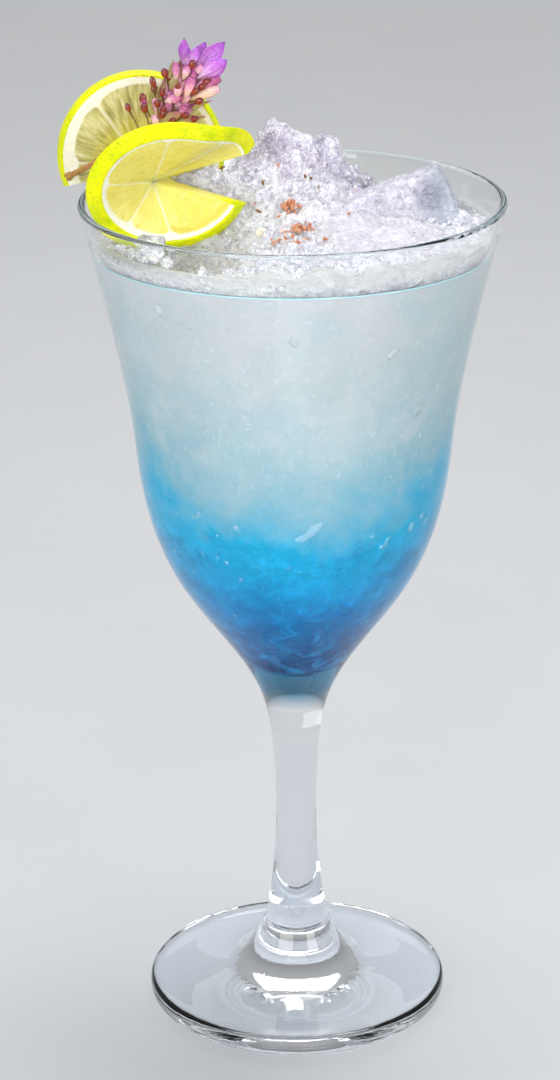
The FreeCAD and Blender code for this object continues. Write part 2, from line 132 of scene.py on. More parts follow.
def round_rows(radius, height, angle):
    """Rows of points round the axis from arrays of radius and height, one row each."""
    radius, height, angle = np.broadcast_arrays(radius, height, angle)
    return np.stack([radius * np.cos(angle), radius * np.sin(angle), height], axis=-1)


def at_wall(angle, height, inside=0):
    """Points on the bowl's inner wall. The angle is in degrees from the front, to the right."""
    return round_rows(wall_radius(height) - inside, height, np.radians(angle) - math.pi / 2)


def bell(points, centre, spread):
    """A bell round a centre: e to the minus sum of squares of distance over spread."""
    return np.exp(-(((points - np.array(centre)) / spread) ** 2).sum(axis=-1))


def swell(x, y, centre, spread):
    """A bell over the plane."""
    return bell(np.stack([x, y], axis=-1), centre, spread)


def ice_top(x, y):
    """Top of the crushed ice: a crown, a mound with a lump beside it, a pool behind, and a small ripple."""
    height = RIM - 4.35 + 5.5 * swell(x, y, (0, 0), 25) + 14 * swell(x, y, MOUND, 9.5)
    height = height + 8 * swell(x, y, LUMP, 4.2) - 15 * swell(x, y, POOL, 16.5)
    ripple = np.sin(0.42 * x + 0.25 * y) * np.cos(0.37 * y - 0.2 * x + 1)
    ripple = ripple + 0.7 * np.sin(0.52 * y + 0.5) * np.sin(0.45 * x + 2)
    return height + 0.7 * ripple


def loose_top(x, y):
    """The same top with a hollow under the front lime's lower flap, and a saddle between the slices."""
    hollow = 7.5 * swell(x, y, (-20, -23), 13)
    saddle = 9 * swell(x, y, (-20, -1.4), (9.5, 4))
    return np.maximum(ice_top(x, y) - hollow + saddle, DRINK_LEVEL + 0.8)


def on_ice(x, y, lift):
    """Points at a lift over the crushed ice."""
    return np.stack([x, y, loose_top(x, y) + lift], axis=-1)


def layer_top(x, y):
    """The waving boundary between the blue and the white drink."""
    wave = np.cos(0.062 * x) * np.cos(0.05 * y) - 0.45 + 0.35 * np.sin(0.19 * x + 0.13 * y)
    return LAYER_HEIGHT + LAYER_WAVE * wave


def circle(count=240):
    """Angles evenly round an axis."""
    return np.arange(count) * 2 * math.pi / count


def globe(rows, around):
    """Unit vectors on a ball's grid of rows from pole to pole."""
    tilt = (np.arange(rows)[:, None] + 0.5) * math.pi / rows
    return round_rows(np.sin(tilt), np.cos(tilt), circle(around))


def waves(points, length, rng, count=20):
    """Smooth random relief, mostly between -1 and 1: plane waves of one wavelength in random directions."""
    ways = unit(rng.normal(size=(count, 3))) * (2 * math.pi / length)
    shifts = rng.uniform(0, 2 * math.pi, count)
    return (np.sin(points @ ways.T + shifts).sum(axis=-1) / math.sqrt(2 * count))[..., None]


def turns(rng, count):
    """Random turns as 3 x 3 matrices: 1 + 2wK + 2KK, where K crosses with v, for a unit (w, v)."""
    four = unit(rng.normal(size=(count, 4)))[:, None]
    cross = np.cross(np.eye(3), four[..., 1:])
    return np.eye(3) + 2 * four[..., :1] * cross + 2 * cross @ cross


def lumps(rng, places, sizes, grid=(6, 9), flats=10, crispness=9, stretch=(0.7, 1.25)):
    """Faceted lumps, each inside some random planes, with softened edges.

    Along a unit vector u the surface is (sum of max(0, n.u / d) ** p) ** (-1 / p) away, over planes with
    the normal n, d from the middle, where p is the crispness of the edges.
    """
    places = np.asarray(places, float)
    count = len(places)
    normals = unit(rng.normal(size=(count, flats, 3)))
    away = rng.uniform(0.62, 1, (count, flats))
    ball = globe(*grid)
    facing = np.einsum("nfk,rak->nraf", normals, ball) / away[:, None, None]
    reach = (np.maximum(facing, 0.05) ** crispness).sum(axis=-1) ** (-1 / crispness)
    widths = rng.uniform(*stretch, (count, 1, 1, 3)) * np.reshape(sizes, (-1, 1, 1, 1))
    bodies = ball * np.minimum(reach, 1.35)[..., None] * widths
    return np.einsum("nrak,nkm->nram", bodies, turns(rng, count)) + places[:, None, None]


def cut_body(centre, planes, crispness, grid):
    """A body inside given planes with softened edges, by the formula of the lumps, on a ball's grid.

    Each plane is its normal's x, y and z and its distance from the centre.
    """
    table = np.array(planes, float)
    ball = globe(*grid)
    facing = np.maximum((ball @ unit(table[:, :3]).T) / table[:, 3], 0)
    return ball * ((facing ** crispness).sum(axis=-1) ** (-1 / crispness))[..., None] + np.array(centre)


def spindles(starts, ends, widths, depths, outline, grid=(22, 16), sides=(0, 1, 0), bends=0, ribs=0,
             rib_depth=0):
    """Closed bodies round axes, such as buds, calyces and petals.

    At a share t of its axis, a section is an ellipse of half axes width and depth times outline(t), with
    ribs as a cosine round it. The axis bows by bend * sin(pi * t).
    """
    rows, around = grid
    starts, ends = starts[:, None, None], ends[:, None, None]
    widths, depths, bends = (np.reshape(size, (-1, 1, 1, 1)) for size in (widths, depths, bends))
    share = (np.arange(rows)[:, None, None] + 0.5) / rows
    turn = circle(around)[:, None]
    along = unit(ends - starts)
    across = unit(np.cross(along, sides))
    thick = np.cross(across, along)
    middle = starts + (ends - starts) * share + thick * bends * np.sin(math.pi * share)
    reach = outline(share) * (1 + rib_depth * np.cos(ribs * turn))
    return middle + across * widths * reach * np.cos(turn) + thick * depths * reach * np.sin(turn)


# ---- pieces

def put(name, data):
    """An object at the origin, in the scene."""
    made = bpy.data.objects.new(name, data)
    bpy.context.scene.collection.objects.link(made)
    return made


def piece(name, rows, finish, stands_for=(), marks=None, ring=False, facets=False):
    """A mesh of closed skins, riding on the glass. rows[i, j] is closed row j of skin i.

    Quads join the rows. A fan to its middle closes the first and the last row or, with ring set, they
    are joined. A skin of negative volume is turned, so that faces look outwards. marks are numbers at
    the points that the finish reads.
    """
    rows = np.asarray(rows, float)
    rows = rows[None] if rows.ndim == 3 else rows
    count, length, around = rows.shape[:3]
    size = length * around + (0 if ring else 2)

    def at_points(values):
        """Values at the rows' points and at the fans' middles."""
        flat = values.reshape(count, length * around, -1)
        return flat if ring else np.concatenate([flat, values[:, [0, -1]].mean(axis=2)], axis=1)

    points = at_points(rows)
    row = np.arange(length if ring else length - 1)[:, None] * around
    place = np.arange(around)
    after = (place + 1) % around
    next_row = (row + around) % (length * around)
    quads = np.stack([row + place, row + after, next_row + after, next_row + place], axis=-1).reshape(-1, 4)
    last = (length - 1) * around
    fans = np.concatenate([
        np.stack([after, place, np.full(around, size - 2)], axis=-1),
        np.stack([last + place, last + after, np.full(around, size - 1)], axis=-1),
    ])[:0 if ring else None]

    halves = np.concatenate([quads[:, [0, 1, 2]], quads[:, [0, 2, 3]], fans])
    one, two, three = (points[:, halves[:, corner]] for corner in range(3))
    inside_out = ((one * np.cross(two, three)).sum(axis=(1, 2)) < 0)[:, None, None]
    shift = (np.arange(count) * size)[:, None, None]
    quads, fans = (
        (np.where(inside_out, faces[None, :, ::-1], faces[None]) + shift).reshape(-1, faces.shape[1])
        for faces in (quads, fans)
    )
    mesh = bpy.data.meshes.new(name)
    mesh.from_pydata((points * MM).reshape(-1, 3), [], quads.tolist() + fans.tolist(), shade_flat=facets)
    for key, values in (marks or {}).items():
        values = at_points(np.broadcast_to(values, rows.shape[:3])[..., None])
        mesh.attributes.new(key, "FLOAT", "POINT").data.foreach_set("value", values.ravel())
    mesh.materials.append(finish)

    made = put(name, mesh)
    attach(made, "root")
    if stands_for:
        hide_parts(*stands_for)
    return made


# ---- finishes

def tint(red, green, blue):
    """A colour as a paint chart gives it, from 0 to 255, made linear."""
    shares = np.array([red, green, blue]) / 255
    linear = np.where(shares <= 0.04045, shares / 12.92, ((shares + 0.055) / 1.055) ** 2.4)
    return (*linear.tolist(), 1)


class Number:
    """A number or colour in a finish. +, -, * and most, the larger of two, add nodes."""

    def __init__(self, look, socket):
        self.look, self.socket = look, socket

    def spread(self, low, high, to_low=0, to_high=1):
        """A range of values stretched onto another, and cut off at its ends."""
        ends = {"Value": self, "From Min": low, "From Max": high, "To Min": to_low, "To Max": to_high}
        return self.look.node("MapRange", ends)

    def __rsub__(self, other):
        return self.look.node("Math", {0: other, 1: self}, operation="SUBTRACT")


for name, kind in dict(__add__="ADD", __sub__="SUBTRACT", __mul__="MULTIPLY", most="MAXIMUM").items():
    setattr(Number, name, lambda one, two, kind=kind: one.look.node("Math", {0: one, 1: two}, operation=kind))


class Finish:
    """A material or sky being built. A colour is a Number, three paint chart values, or four linear ones."""

    def __init__(self, name, kind="materials"):
        self.made = getattr(bpy.data, kind).new(name)
        self.made.use_nodes = True
        self.tree = self.made.node_tree
        self.tree.nodes.clear()

    def node(self, kind, inputs=None, output=0, **settings):
        """One output of a new shader node, its inputs fed from Numbers or set to values."""
        made = self.tree.nodes.new("ShaderNode" + kind)
        for key, value in settings.items():
            setattr(made, key, value)
        for key, value in (inputs or {}).items():
            if isinstance(value, Number):
                self.tree.links.new(value.socket, made.inputs[key])
            else:
                made.inputs[key].default_value = value
        return Number(self, made.outputs[output]) if made.outputs else None

    def place(self):
        """The point's place in the frame, in metres."""
        return self.node("TexCoord", output="Object")

    def axis(self, name):
        """The point's X, Y or Z, in metres."""
        return self.node("SeparateXYZ", {0: self.place()}, name)

    def mark(self, name):
        """A number kept at the mesh's points."""
        return self.node("Attribute", output="Fac", attribute_name=name)

    def height(self, low, high):
        """0 at one height in millimetres and 1 at another."""
        return self.axis("Z").spread(low * MM, high * MM)

    def noise(self, size, detail=3, rough=0.55, bend=0, where=None):
        """Cloudy noise with features of a size in millimetres."""
        inputs = {"Vector": where or self.place(), "Scale": 1 / (size * MM), "Detail": detail}
        return self.node("TexNoise", {**inputs, "Roughness": rough, "Distortion": bend}, "Fac")

    def crystals(self, size, feature="F1"):
        """Cells of a size in millimetres: the distance to the nearest middle or edge."""
        inputs = {"Vector": self.place(), "Scale": 1 / (size * MM)}
        return self.node("TexVoronoi", inputs, "Distance", feature=feature)

    def stack(self, x, y, z=0):
        """Three numbers as one vector."""
        return self.node("CombineXYZ", {"X": x, "Y": y, "Z": z})

    def shades(self, value, stops):
        """Colours along a value from 0 to 1."""
        made = self.node("ValToRGB", {"Fac": value}, "Color")
        ramp = made.socket.node.color_ramp
        for spare in range(len(stops) - 2):
            ramp.elements.new(0.5)
        for element, (at, colour) in zip(ramp.elements, stops.items()):
            element.position = at
            element.color = tint(*colour) if len(colour) == 3 else colour
        return made

    def coats(self, colour, *layers, way="MIX"):
        """A colour with others laid over it, each a share and a colour."""
        for share, coat in layers:
            both = {6: colour, 7: coat}
            for key, one in both.items():
                if isinstance(one, tuple) and len(one) == 3:
                    both[key] = tint(*one)
            colour = self.node("Mix", {0: share, **both}, 2, data_type="RGBA", blend_type=way)
        return colour

    def relief(self, *layers):
        """Bumps, each a height from 0 to 1 and a depth in millimetres."""
        bumps = None
        for height, depth in layers:
            under = {"Normal": bumps} if bumps else {}
            bumps = self.node("Bump", {"Height": height, "Distance": depth * MM, **under})
        return bumps

    def skin(self, colour, roughness, bumps=None, through=None, inner=(), **inputs):
        """Ends the material with a Principled shader, its other inputs named with _ for a space.

        inner is how light spreads inside: weight, reach by colour, and scale in millimetres. With
        through, lamps reach what is behind the surface, dimmed by that colour.
        """
        named = {"Base Color": colour, "Roughness": roughness}
        if bumps:
            named["Normal"] = bumps
        for key, value in zip(("Weight", "Radius", "Scale"), inner):
            named["Subsurface " + key] = value * MM if key == "Scale" else value
        named.update((key.replace("_", " "), value) for key, value in inputs.items())
        shader = self.node("BsdfPrincipled", named)
        if through:
            ray = self.node("LightPath", output="Is Shadow Ray")
            clear = self.node("BsdfTransparent", {"Color": through})
            shader = self.node("MixShader", {0: ray, 1: shader, 2: clear})
        return self.done("OutputMaterial", shader)

    def done(self, end, shader):
        """Ends the node tree."""
        self.node(end, {"Surface": shader})
        return self.made


def clear_glass():
    """Blown glass: teal at the lip, blue where the drink shines into it, greyer at the foot.

    The stem and the foot hold back some of the lamps' light, and so cast a soft shadow.
    """
    look = Finish("clear_glass")
    lip = look.coats((253, 254, 254), (look.height(RIM - 1.5, RIM), (232, 244, 247)))
    bowl = look.height(DRINK_BOTTOM - 22, DRINK_BOTTOM - 6)
    below = look.height(DRINK_BOTTOM - 10, DRINK_BOTTOM - 5)
    above = look.height(LAYER_HEIGHT + 8, LAYER_HEIGHT - 12)
    glow = below * above * look.noise(9, 3, bend=0.6).spread(0.3, 0.7, 0.72, 1)
    blue = look.coats((24, 184, 230), (look.height(DRINK_BOTTOM + 9, DRINK_BOTTOM - 1), (14, 178, 238)))
    colour = look.coats((236, 239, 243), (bowl, lip), (glow, blue))
    smear = look.noise(14, 4).spread(0.55, 0.8, 0, 0.035)
    through = look.coats((0.8, 0.82, 0.84, 1), (bowl, (0.93, 0.95, 0.96, 1)))
    ripple = look.relief((look.noise(22, 1), 0.05))
    return look.skin(colour, smear, ripple, through, IOR=1.42, Transmission_Weight=1)


def drink_colour(look):
    """The drink's colour by height and wandering: navy, cyan, aqua, then milky white. At the sides, by X,
    painted refraction shifts it: bluer from about 114 mm up and lighter cyan below about 98 mm.
    """
    wander = (look.noise(15, 3, 0.5, 0.8) - 0.5) * 0.26
    finer = (look.noise(4, 5, 0.68, 0.5) - 0.5) * 0.1
    # Painted refraction: the sides' colour, by X, shifts as if bent through the bowl's glass.
    side = look.axis("X") * (1 / (32 * MM))
    painted_side_refraction = side * side * 0.13
    level = look.height(DRINK_BOTTOM, DRINK_LEVEL) + (wander + finer)
    level = level - painted_side_refraction * look.height(94, 114) + painted_side_refraction * 2.4 * look.height(114, 98)
    by_height = {
        84: (0, 70, 108), 92: (0, 112, 160), 99: (0, 134, 178), 105: (0, 157, 199),
        111: (0, 167, 207), 116.5: (0, 162, 201), 121: (85, 170, 199), 126: (115, 172, 192),
        131: (137, 177, 190), 143: (168, 188, 195), 158: (182, 192, 195), 175: (190, 194, 198),
    }
    deep = DRINK_LEVEL - DRINK_BOTTOM
    return look.shades(level, {(height - DRINK_BOTTOM) / deep: shade for height, shade in by_height.items()})


def drink(name):
    """Both layers' look: the milky share has soft clouds and crystals, the blue share has streaked clouds and
    painted glints, pale cyan specks that stand for highlights.
    """
    look = Finish(name)
    colour = drink_colour(look)
    milky = look.height(LAYER_HEIGHT + 6, LAYER_HEIGHT + 30)
    blue = look.height(LAYER_HEIGHT + 12, LAYER_HEIGHT + 2)
    # Each cloud: its layer, its noise, where it starts and is full, its share and its colour.
    clouds = [
        (milky, (9, 5, 0.6, 0.5), 0.48, 0.72, 0.45, (200, 204, 206)),
        (milky, (11, 3, 0.55, 1), 0.55, 0.75, 0.22, (162, 176, 178)),
        (milky, (12, 4), 0.54, 0.72, 0.3, (146, 188, 194)),
        (blue, (4.6, 6, 0.72, 0.5), 0.48, 0.66, 0.8, (24, 190, 236)),
        (blue, (6, 6, 0.7, 0.4), 0.48, 0.66, 0.6, (0, 120, 168)),
        (milky, (1.1, 3, 0.7), 0.56, 0.7, 0.35, (214, 218, 220)),
        # painted glints: pale cyan specks in the blue share that stand for highlights
        (blue, (1, 4, 0.75), 0.6, 0.7, 0.4, (110, 216, 240)),
    ]
    for layer, noise, start, full, share, cast in clouds:
        colour = look.coats(colour, (look.noise(*noise).spread(start, full, 0, share) * layer, cast))
    bumps = look.relief((look.crystals(2) + look.noise(0.8, 2), 0.07), (look.noise(6, 3), 0.4))
    return look.skin(colour, 0.4, bumps, inner=(0.3, (0.7, 0.95, 1), 3), IOR=1.33, Specular_IOR_Level=0.12)


def packed_ice():
    """Crushed ice: wet grains with smoother patches, frosted by the block and calm at the wall. The grains
    carry painted shade and highlight: darker in their pits and whiter on their tips.
    """
    look = Finish("packed_ice")
    grain_shade_and_highlight = look.noise(1.1, 5, 0.75)
    # Painted shade and highlight: the same noise is the bump height, so pits are darker and tips whiter.
    colour = look.shades(grain_shade_and_highlight, {
        0.34: (150, 152, 158), 0.44: (202, 204, 207), 0.56: (230, 230, 234), 0.68: (252, 251, 254),
    })
    shadow = look.noise(9, 3).spread(0.4, 0.65, 0, 0.45)
    colour = look.coats(colour, (shadow, (222, 216, 230)), way="MULTIPLY")
    wet = look.noise(4.5, 3, bend=0.8).spread(0.46, 0.58) * 0.6
    frost = look.shades(look.noise(1.3, 6, 0.8), {
        0.38: (180, 178, 192), 0.48: (200, 197, 210), 0.58: (214, 211, 223), 0.66: (248, 247, 252),
    })
    smooth, bank = look.mark("smooth"), look.mark("bank")
    colour = look.coats(colour, (wet, (204, 206, 208)), (smooth, frost), (bank * 0.9, (176, 178, 178)))
    rough = wet.most(smooth.most(bank)).spread(0, 1, 1, 0.35)
    bumps = look.relief(((look.crystals(1.2) + grain_shade_and_highlight) * rough, 0.5), (look.noise(2.4, 4, 0.6) * rough, 1))
    return look.skin(colour, 0.1, bumps, inner=(0.35, (0.95, 0.95, 1), 2), IOR=1.31)


def ice(name, cloudiness, roughness, colour, relief_depth):
    """Ice as glass with a share of white: clouds inside, fine cracks and dark spots as painted shade, white
    spots as painted glints, and a melted, rippled skin.
    """
    look = Finish(name)
    cloud = look.noise(2.4, 5, 0.7)
    # Painted shade: darker lavender along the cells' edges, as in creases, and in dark spots.
    crack_shade = look.crystals(2.2, "DISTANCE_TO_EDGE").spread(0, 0.05, 0.6, 0)
    hollow = look.noise(1.3, 4, 0.75).spread(0.42, 0.34, 0, 0.65)
    # Painted glints: white spots that stand for highlights, where the ice is also less clear.
    painted_glint = look.noise(0.7, 4, 0.8).spread(0.56, 0.62, 0, 0.9)
    shade = look.coats(colour, (cloud.spread(0.35, 0.65), (250, 250, 252)),
                       (crack_shade.most(hollow), (136, 130, 148)), (painted_glint, (255, 255, 255)))
    bumps = look.relief((look.noise(0.9, 3), relief_depth), (look.noise(3.2, 2), 2.5 * relief_depth))
    clear = cloud.spread(0.38, 0.62, 1 - 0.4 * cloudiness, 1 - 1.6 * cloudiness) * (1 - painted_glint)
    return look.skin(shade, roughness, bumps, (0.9, 0.9, 0.92, 1), Transmission_Weight=clear, IOR=1.31)


def frosted_block():
    """A large lump of ice: white frost over its face, clearer and bluer towards its upper corner, with white
    spots as painted glints.
    """
    look = Finish("frosted_ice")
    frost = look.noise(1.5, 6, 0.78)
    colour = look.shades(frost, {
        0.34: (178, 178, 196), 0.46: (208, 206, 220), 0.58: (224, 221, 234), 0.68: (250, 250, 254),
    })
    corner = (look.axis("X") + frost.spread(0, 1, -0.004, 0.004)).spread(26 * MM, 31 * MM)
    # Painted glints: white spots that stand for highlights.
    painted_sparkle = look.noise(0.8, 5, 0.8).spread(0.56, 0.64, 0, 0.85)
    glassy = look.mark("glassy") * look.noise(1.6, 4, 0.7).spread(0.4, 0.6, 0.3, 1)
    colour = look.coats(colour, (corner * 0.65, (200, 212, 224)), (painted_sparkle, (255, 255, 255)),
                        (glassy * 0.55, (190, 192, 206)))
    bumps = look.relief((look.crystals(0.9), 0.3), (look.noise(1.6, 5, 0.7), 0.9))
    wet = frost.spread(0.3, 0.7, 0.1, 0.28)
    clear = frost.spread(0.35, 0.6, 0.3, 0) + corner * 0.3 + glassy * 0.6
    return look.skin(colour, wet, bumps, (0.5, 0.5, 0.52, 1), (0.35, (0.95, 0.95, 1), 3),
                     Transmission_Weight=clear, IOR=1.31)


def lime(name, flesh, deep, core_glow, glow_from, glow_to, lit_streak_share, streak_shade_and_highlight):
    """A cut lime: wet flesh in long sacs, membranes, a white pith and a pored yellow-green rind. The sac
    pattern is painted highlight and shade: lighter on the raised sacs and darker between.

    Most marks are millimetres: from the core, to a membrane, and into the pith. rind is 1 on the peel.
    """
    look = Finish(name)
    white = (254, 253, 234)
    out = look.mark("from_core")
    sacs_at = look.stack(look.mark("angle") * 13, out * 0.16, look.mark("side"))
    sac = look.noise(1 / MM, 3, 0.6, where=sacs_at)
    # Painted highlight and shade: the sac noise is also the bump height, so raised sacs are lighter and the
    # gaps darker.
    lit_sac_streaks = look.shades(sac.spread(0.3, 0.72), {0: streak_shade_and_highlight[0], 0.5: flesh, 1: streak_shade_and_highlight[1]})
    grit = look.noise(0.5, 2, 0.7).spread(0.35, 0.65, 0, 0.18)
    membrane = look.mark("to_membrane").spread(0.1, 0.5, 0.6, 0)
    ragged = look.mark("in_pith") + look.noise(1.2).spread(0.3, 0.7, -0.15, 0.15)
    pore = look.crystals(0.55).spread(0.1, 0.5)
    peel = look.coats((206, 224, 4), (look.noise(5, 4, 0.6).spread(0.3, 0.7), (250, 248, 2)))
    peel = look.coats((160, 180, 4), (pore * 0.3 + 0.7, peel))
    skin = look.mark("rind").spread(0.3, 0.7)
    colour = look.coats(
        flesh, (look.noise(5, 3).spread(0.35, 0.65), deep), (look.mark("segment") * 0.5, deep),
        (lit_streak_share, lit_sac_streaks), (grit, deep), (out.spread(glow_from, glow_to, 0, 0.8), core_glow),
        (membrane, white), (ragged.spread(-0.25, 0.2), white), (out.spread(1.8, 0.8), white), (skin, peel),
    )
    height = look.node("Mix", {0: skin, 2: sac * 1.5 + membrane * 0.4, 3: pore * 0.6})
    return look.skin(
        colour, skin.spread(0, 1, 0.18, 0.36), look.relief((height, 0.22)), inner=(0.3, (1, 0.9, 0.25), 2),
        Specular_IOR_Level=skin.spread(0, 1, 0.5, 0.2), Coat_Weight=skin.spread(0, 1, 0.15, 0),
        Coat_Roughness=0.15,
    )


def plant(name, stops, roughness, speckle, depth=0.12, coat=0, veins=None):
    """A dried flower's part: colours from base to tip, speckles, a fine grain, and perhaps veins."""
    look = Finish(name)
    colour = look.shades(look.mark("along") + look.noise(1.4, 3).spread(0.2, 0.8, -0.22, 0.22), stops)
    colour = look.coats(colour, (look.noise(0.55, 3, 0.7).spread(0.5, 0.7, 0, 0.65), speckle))
    fibres = [(look.noise(0.4, 3), depth)]
    if veins:
        way = look.stack(look.mark("across") * 5, look.mark("along") * 1.5)
        line = look.noise(1 / MM, 3, 0.5, 0.4, way)
        colour = look.coats(colour, (line.spread(0.42, 0.6, 0, 0.7), veins))
        fibres.append((line, 2 * depth))
    bumps = look.relief(*fibres)
    return look.skin(colour, roughness, bumps, inner=(0.15, (1, 0.5, 0.7), 1), Coat_Weight=coat)


# ---- drink

def boundary(radius, angle):
    """Height of the layers' boundary."""
    return layer_top(radius * np.cos(angle), radius * np.sin(angle))


def boundary_edge(angle):
    """Radius at which the layers' boundary meets the wall, settled by a few rounds."""
    radius = wall_radius(LAYER_HEIGHT)
    for turn in range(4):
        radius = wall_radius(boundary(radius, angle))
    return radius


def boundary_rows(shares, angle):
    """Rows on the layers' boundary, at shares of the way from the axis to the wall."""
    radius = shares[:, None] * (boundary_edge(angle) + WALL_REACH)
    return round_rows(radius, boundary(radius, angle), angle)


def make_white_layer():
    """The white slush: the layers' boundary, the wall above it, and the level top under the ice."""
    angle = circle()
    foot = boundary(boundary_edge(angle), angle)
    share = np.append(np.linspace(0.02, 0.97, 12), [0.998, 1])
    steps = np.concatenate([[0.001], np.linspace(0, 1, 70)[1:-1], [0.999, 1]])
    height = foot + (DRINK_LEVEL - foot) * steps[:, None]
    wall = round_rows(wall_radius(height) + WALL_REACH, height, angle)
    top = round_rows((wall_radius(DRINK_LEVEL) + WALL_REACH) * share[-2::-1, None], DRINK_LEVEL, angle)
    rows = np.concatenate([boundary_rows(share, angle), wall, top])
    piece("white_layer", rows, drink("white_slush"), ["drink_white"])


def make_blue_layer():
    """The blue drink: the bowl's pointed floor and wall, and the layers' boundary over it."""
    angle = circle()
    share = np.append(np.linspace(0.01, 0.997, 60), [0.9995, 1])[:, None]
    radius = share * boundary_edge(angle)
    sunk = WALL_REACH * (1 - share ** 6)
    wall = round_rows(radius + WALL_REACH * share, bowl_floor(radius) - sunk, angle)
    over = boundary_rows(np.append([0.998], np.linspace(0.97, 0.02, 12)), angle)
    piece("blue_layer", np.concatenate([wall, over]), drink("blue_drink"), ["drink_blue"])


def make_waterline():
    """The drink's edge against the wall: a thin ring with a cyan tinge."""
    look = Finish("waterline")
    colour = look.coats((150, 214, 226), (look.noise(6), (204, 228, 232)))
    angle, turn = circle(220)[:, None], circle(10)
    radius = wall_radius(DRINK_LEVEL) + 0.1 + 0.24 * np.cos(turn)
    height = DRINK_LEVEL + 0.1 * np.sin(3 * angle + 0.6) + 0.2 * np.sin(turn)
    finish = look.skin(colour, 0.1, look.relief((look.noise(2), 0.1)))
    piece("waterline", round_rows(radius, height, angle), finish, ring=True)


def make_sunk_ice():
    """Ice in the drink where it touches the wall: mostly soft pale patches, and one long white shard."""
    rng = default_rng(31)
    look = Finish("sunk_ice")
    pale = look.noise(2.6, 4).spread(0.38, 0.68, 0, 0.42).most(look.mark("white"))
    colour = look.coats(drink_colour(look), (pale, (206, 226, 236)))
    bumps = look.relief((look.noise(1, 3), 0.3))
    finish = look.skin(colour, 0.15, bumps, IOR=1.31, Subsurface_Weight=0.4, Subsurface_Scale=2 * MM)
    count, grid = 130, (8, 12)
    angle = rng.uniform(-180, 180, count)
    height = rng.uniform(96, 170, count)
    size = rng.uniform(1, 2.8, count)
    rows = lumps(rng, at_wall(angle, height, size * 0.86), size, grid, crispness=7)
    shard = spindles(at_wall([-2.5], [119.6], 0.1), at_wall([11.5], [126.2], 0.1), 1.5, 0.9,
                     pod(1.3, 0.6), grid, at_wall([5], [0]))
    shard = shard + 0.4 * waves(shard, 3, rng) * [1, 0.3, 1]
    white = np.zeros((count + 1, 1, 1))
    white[-1] = 0.34
    rows = held_in(np.concatenate([rows, shard]), 0.55)
    piece("sunk_ice", rows, finish, marks={"white": white})


def make_bubbles():
    """Air bubbles on the wall, a large one with small ones beside it, and one drop near the top."""
    rng = default_rng(5)
    look = Finish("bubble")
    shine = look.coats(drink_colour(look), (look.noise(0.6).spread(0.35, 0.65, 0.08, 0.4), (236, 248, 252)))
    finish = look.skin(shine, 0.04, look.relief((look.noise(0.7), 0.05)), IOR=1.4)
    seen = [
        (51.9, 120, 1.15), (58.1, 121.5, 0.85), (31.7, 120.5, 0.55), (36.8, 117.4, 0.65),
        (34.2, 137.3, 0.55), (37.2, 133.6, 0.5), (16.1, 135.8, 0.7), (49.9, 141.1, 0.8),
        (28, 120, 0.4), (54, 117.2, 0.4), (-42.1, 171.1, 1.2), (-31, 121, 0.5),
    ]
    angle, height, size = np.array(seen).T
    count = 80
    angle = np.concatenate([angle, rng.uniform(60, 345, count)])
    height = np.concatenate([height, rng.uniform(100, 172, count)])
    size = np.concatenate([0.9 * size, 0.2 + 0.5 * rng.uniform(0, 1, count) ** 3])[:, None, None, None]
    rows = at_wall(angle, height, 0.1)[:, None, None] + globe(10, 16) * size * [1, 1, 1.08]
    piece("bubbles", held_in(rows, 0.7), finish)


# ---- ice

def node_points(node):
    """All the points of a CAD node, in millimetres."""
    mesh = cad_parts[node].data
    flat = np.empty(len(mesh.vertices) * 3)
    mesh.vertices.foreach_get("co", flat)
    return flat.reshape(-1, 3) / MM


def clear_of(places, sizes, nodes, gap):
    """True where a ball of a size at a place stays off the CAD nodes."""
    points = np.concatenate([node_points(node)[::3] for node in nodes])
    nearest = np.array([np.linalg.norm(points - place, axis=1).min() for place in places])
    return nearest > sizes + gap


def scattered(rng, count, reach):
    """Places spread over a disc by the sunflower rule, shaken by a millimetre."""
    index = np.arange(count) + 0.5
    radius = reach * np.sqrt(index / count)
    turn = index * math.pi * (3 - math.sqrt(5))
    shake = rng.normal(size=(count, 2))
    return radius * np.cos(turn) + shake[:, 0], radius * np.sin(turn) + shake[:, 1]


def make_packed_ice():
    """The crushed ice as one body: its rough top, its edge banked up the wall, and its level foot."""
    rng = default_rng(11)
    angle = circle(300)
    radius = np.linspace(0.01, 1, 110)[:, None] * (wall_radius(DRINK_LEVEL + 4.5) + WALL_REACH)
    rows = round_rows(radius, 0, angle)
    x, y = rows[..., 0], rows[..., 1]
    bank = np.clip((radius - wall_radius(DRINK_LEVEL + 3) + 3.4) / 2.6, 0, 1) + 0 * x
    smooth = swell(x, y, APRON, 13)
    height = loose_top(x, y) - 0.7 - 1.2 * swell(x, y, MOUND, 9) + 0.4 * smooth
    rough = 0.55 * waves(rows, 3.1, rng) + 0.3 * waves(rows, 1.7, rng)
    height = height + (1 - 0.75 * np.maximum(bank, smooth)) * rough[..., 0]
    rows[..., 2] = np.maximum(height, DRINK_LEVEL - 0.6 + 4.8 * bank * bank * (3 - 2 * bank))
    inwards = np.linspace(0.98, 0.02, 6)[:, None]
    foot = round_rows(inwards * wall_radius(DRINK_LEVEL), DRINK_LEVEL - 0.8, angle)
    rows = np.concatenate([held_in(rows), foot])
    marks = {"bank": bank, "smooth": smooth}
    marks = {key: np.concatenate([mark, 0 * foot[..., 0]]) for key, mark in marks.items()}
    piece("packed_ice", rows, packed_ice(), ["ice_heap"], marks)


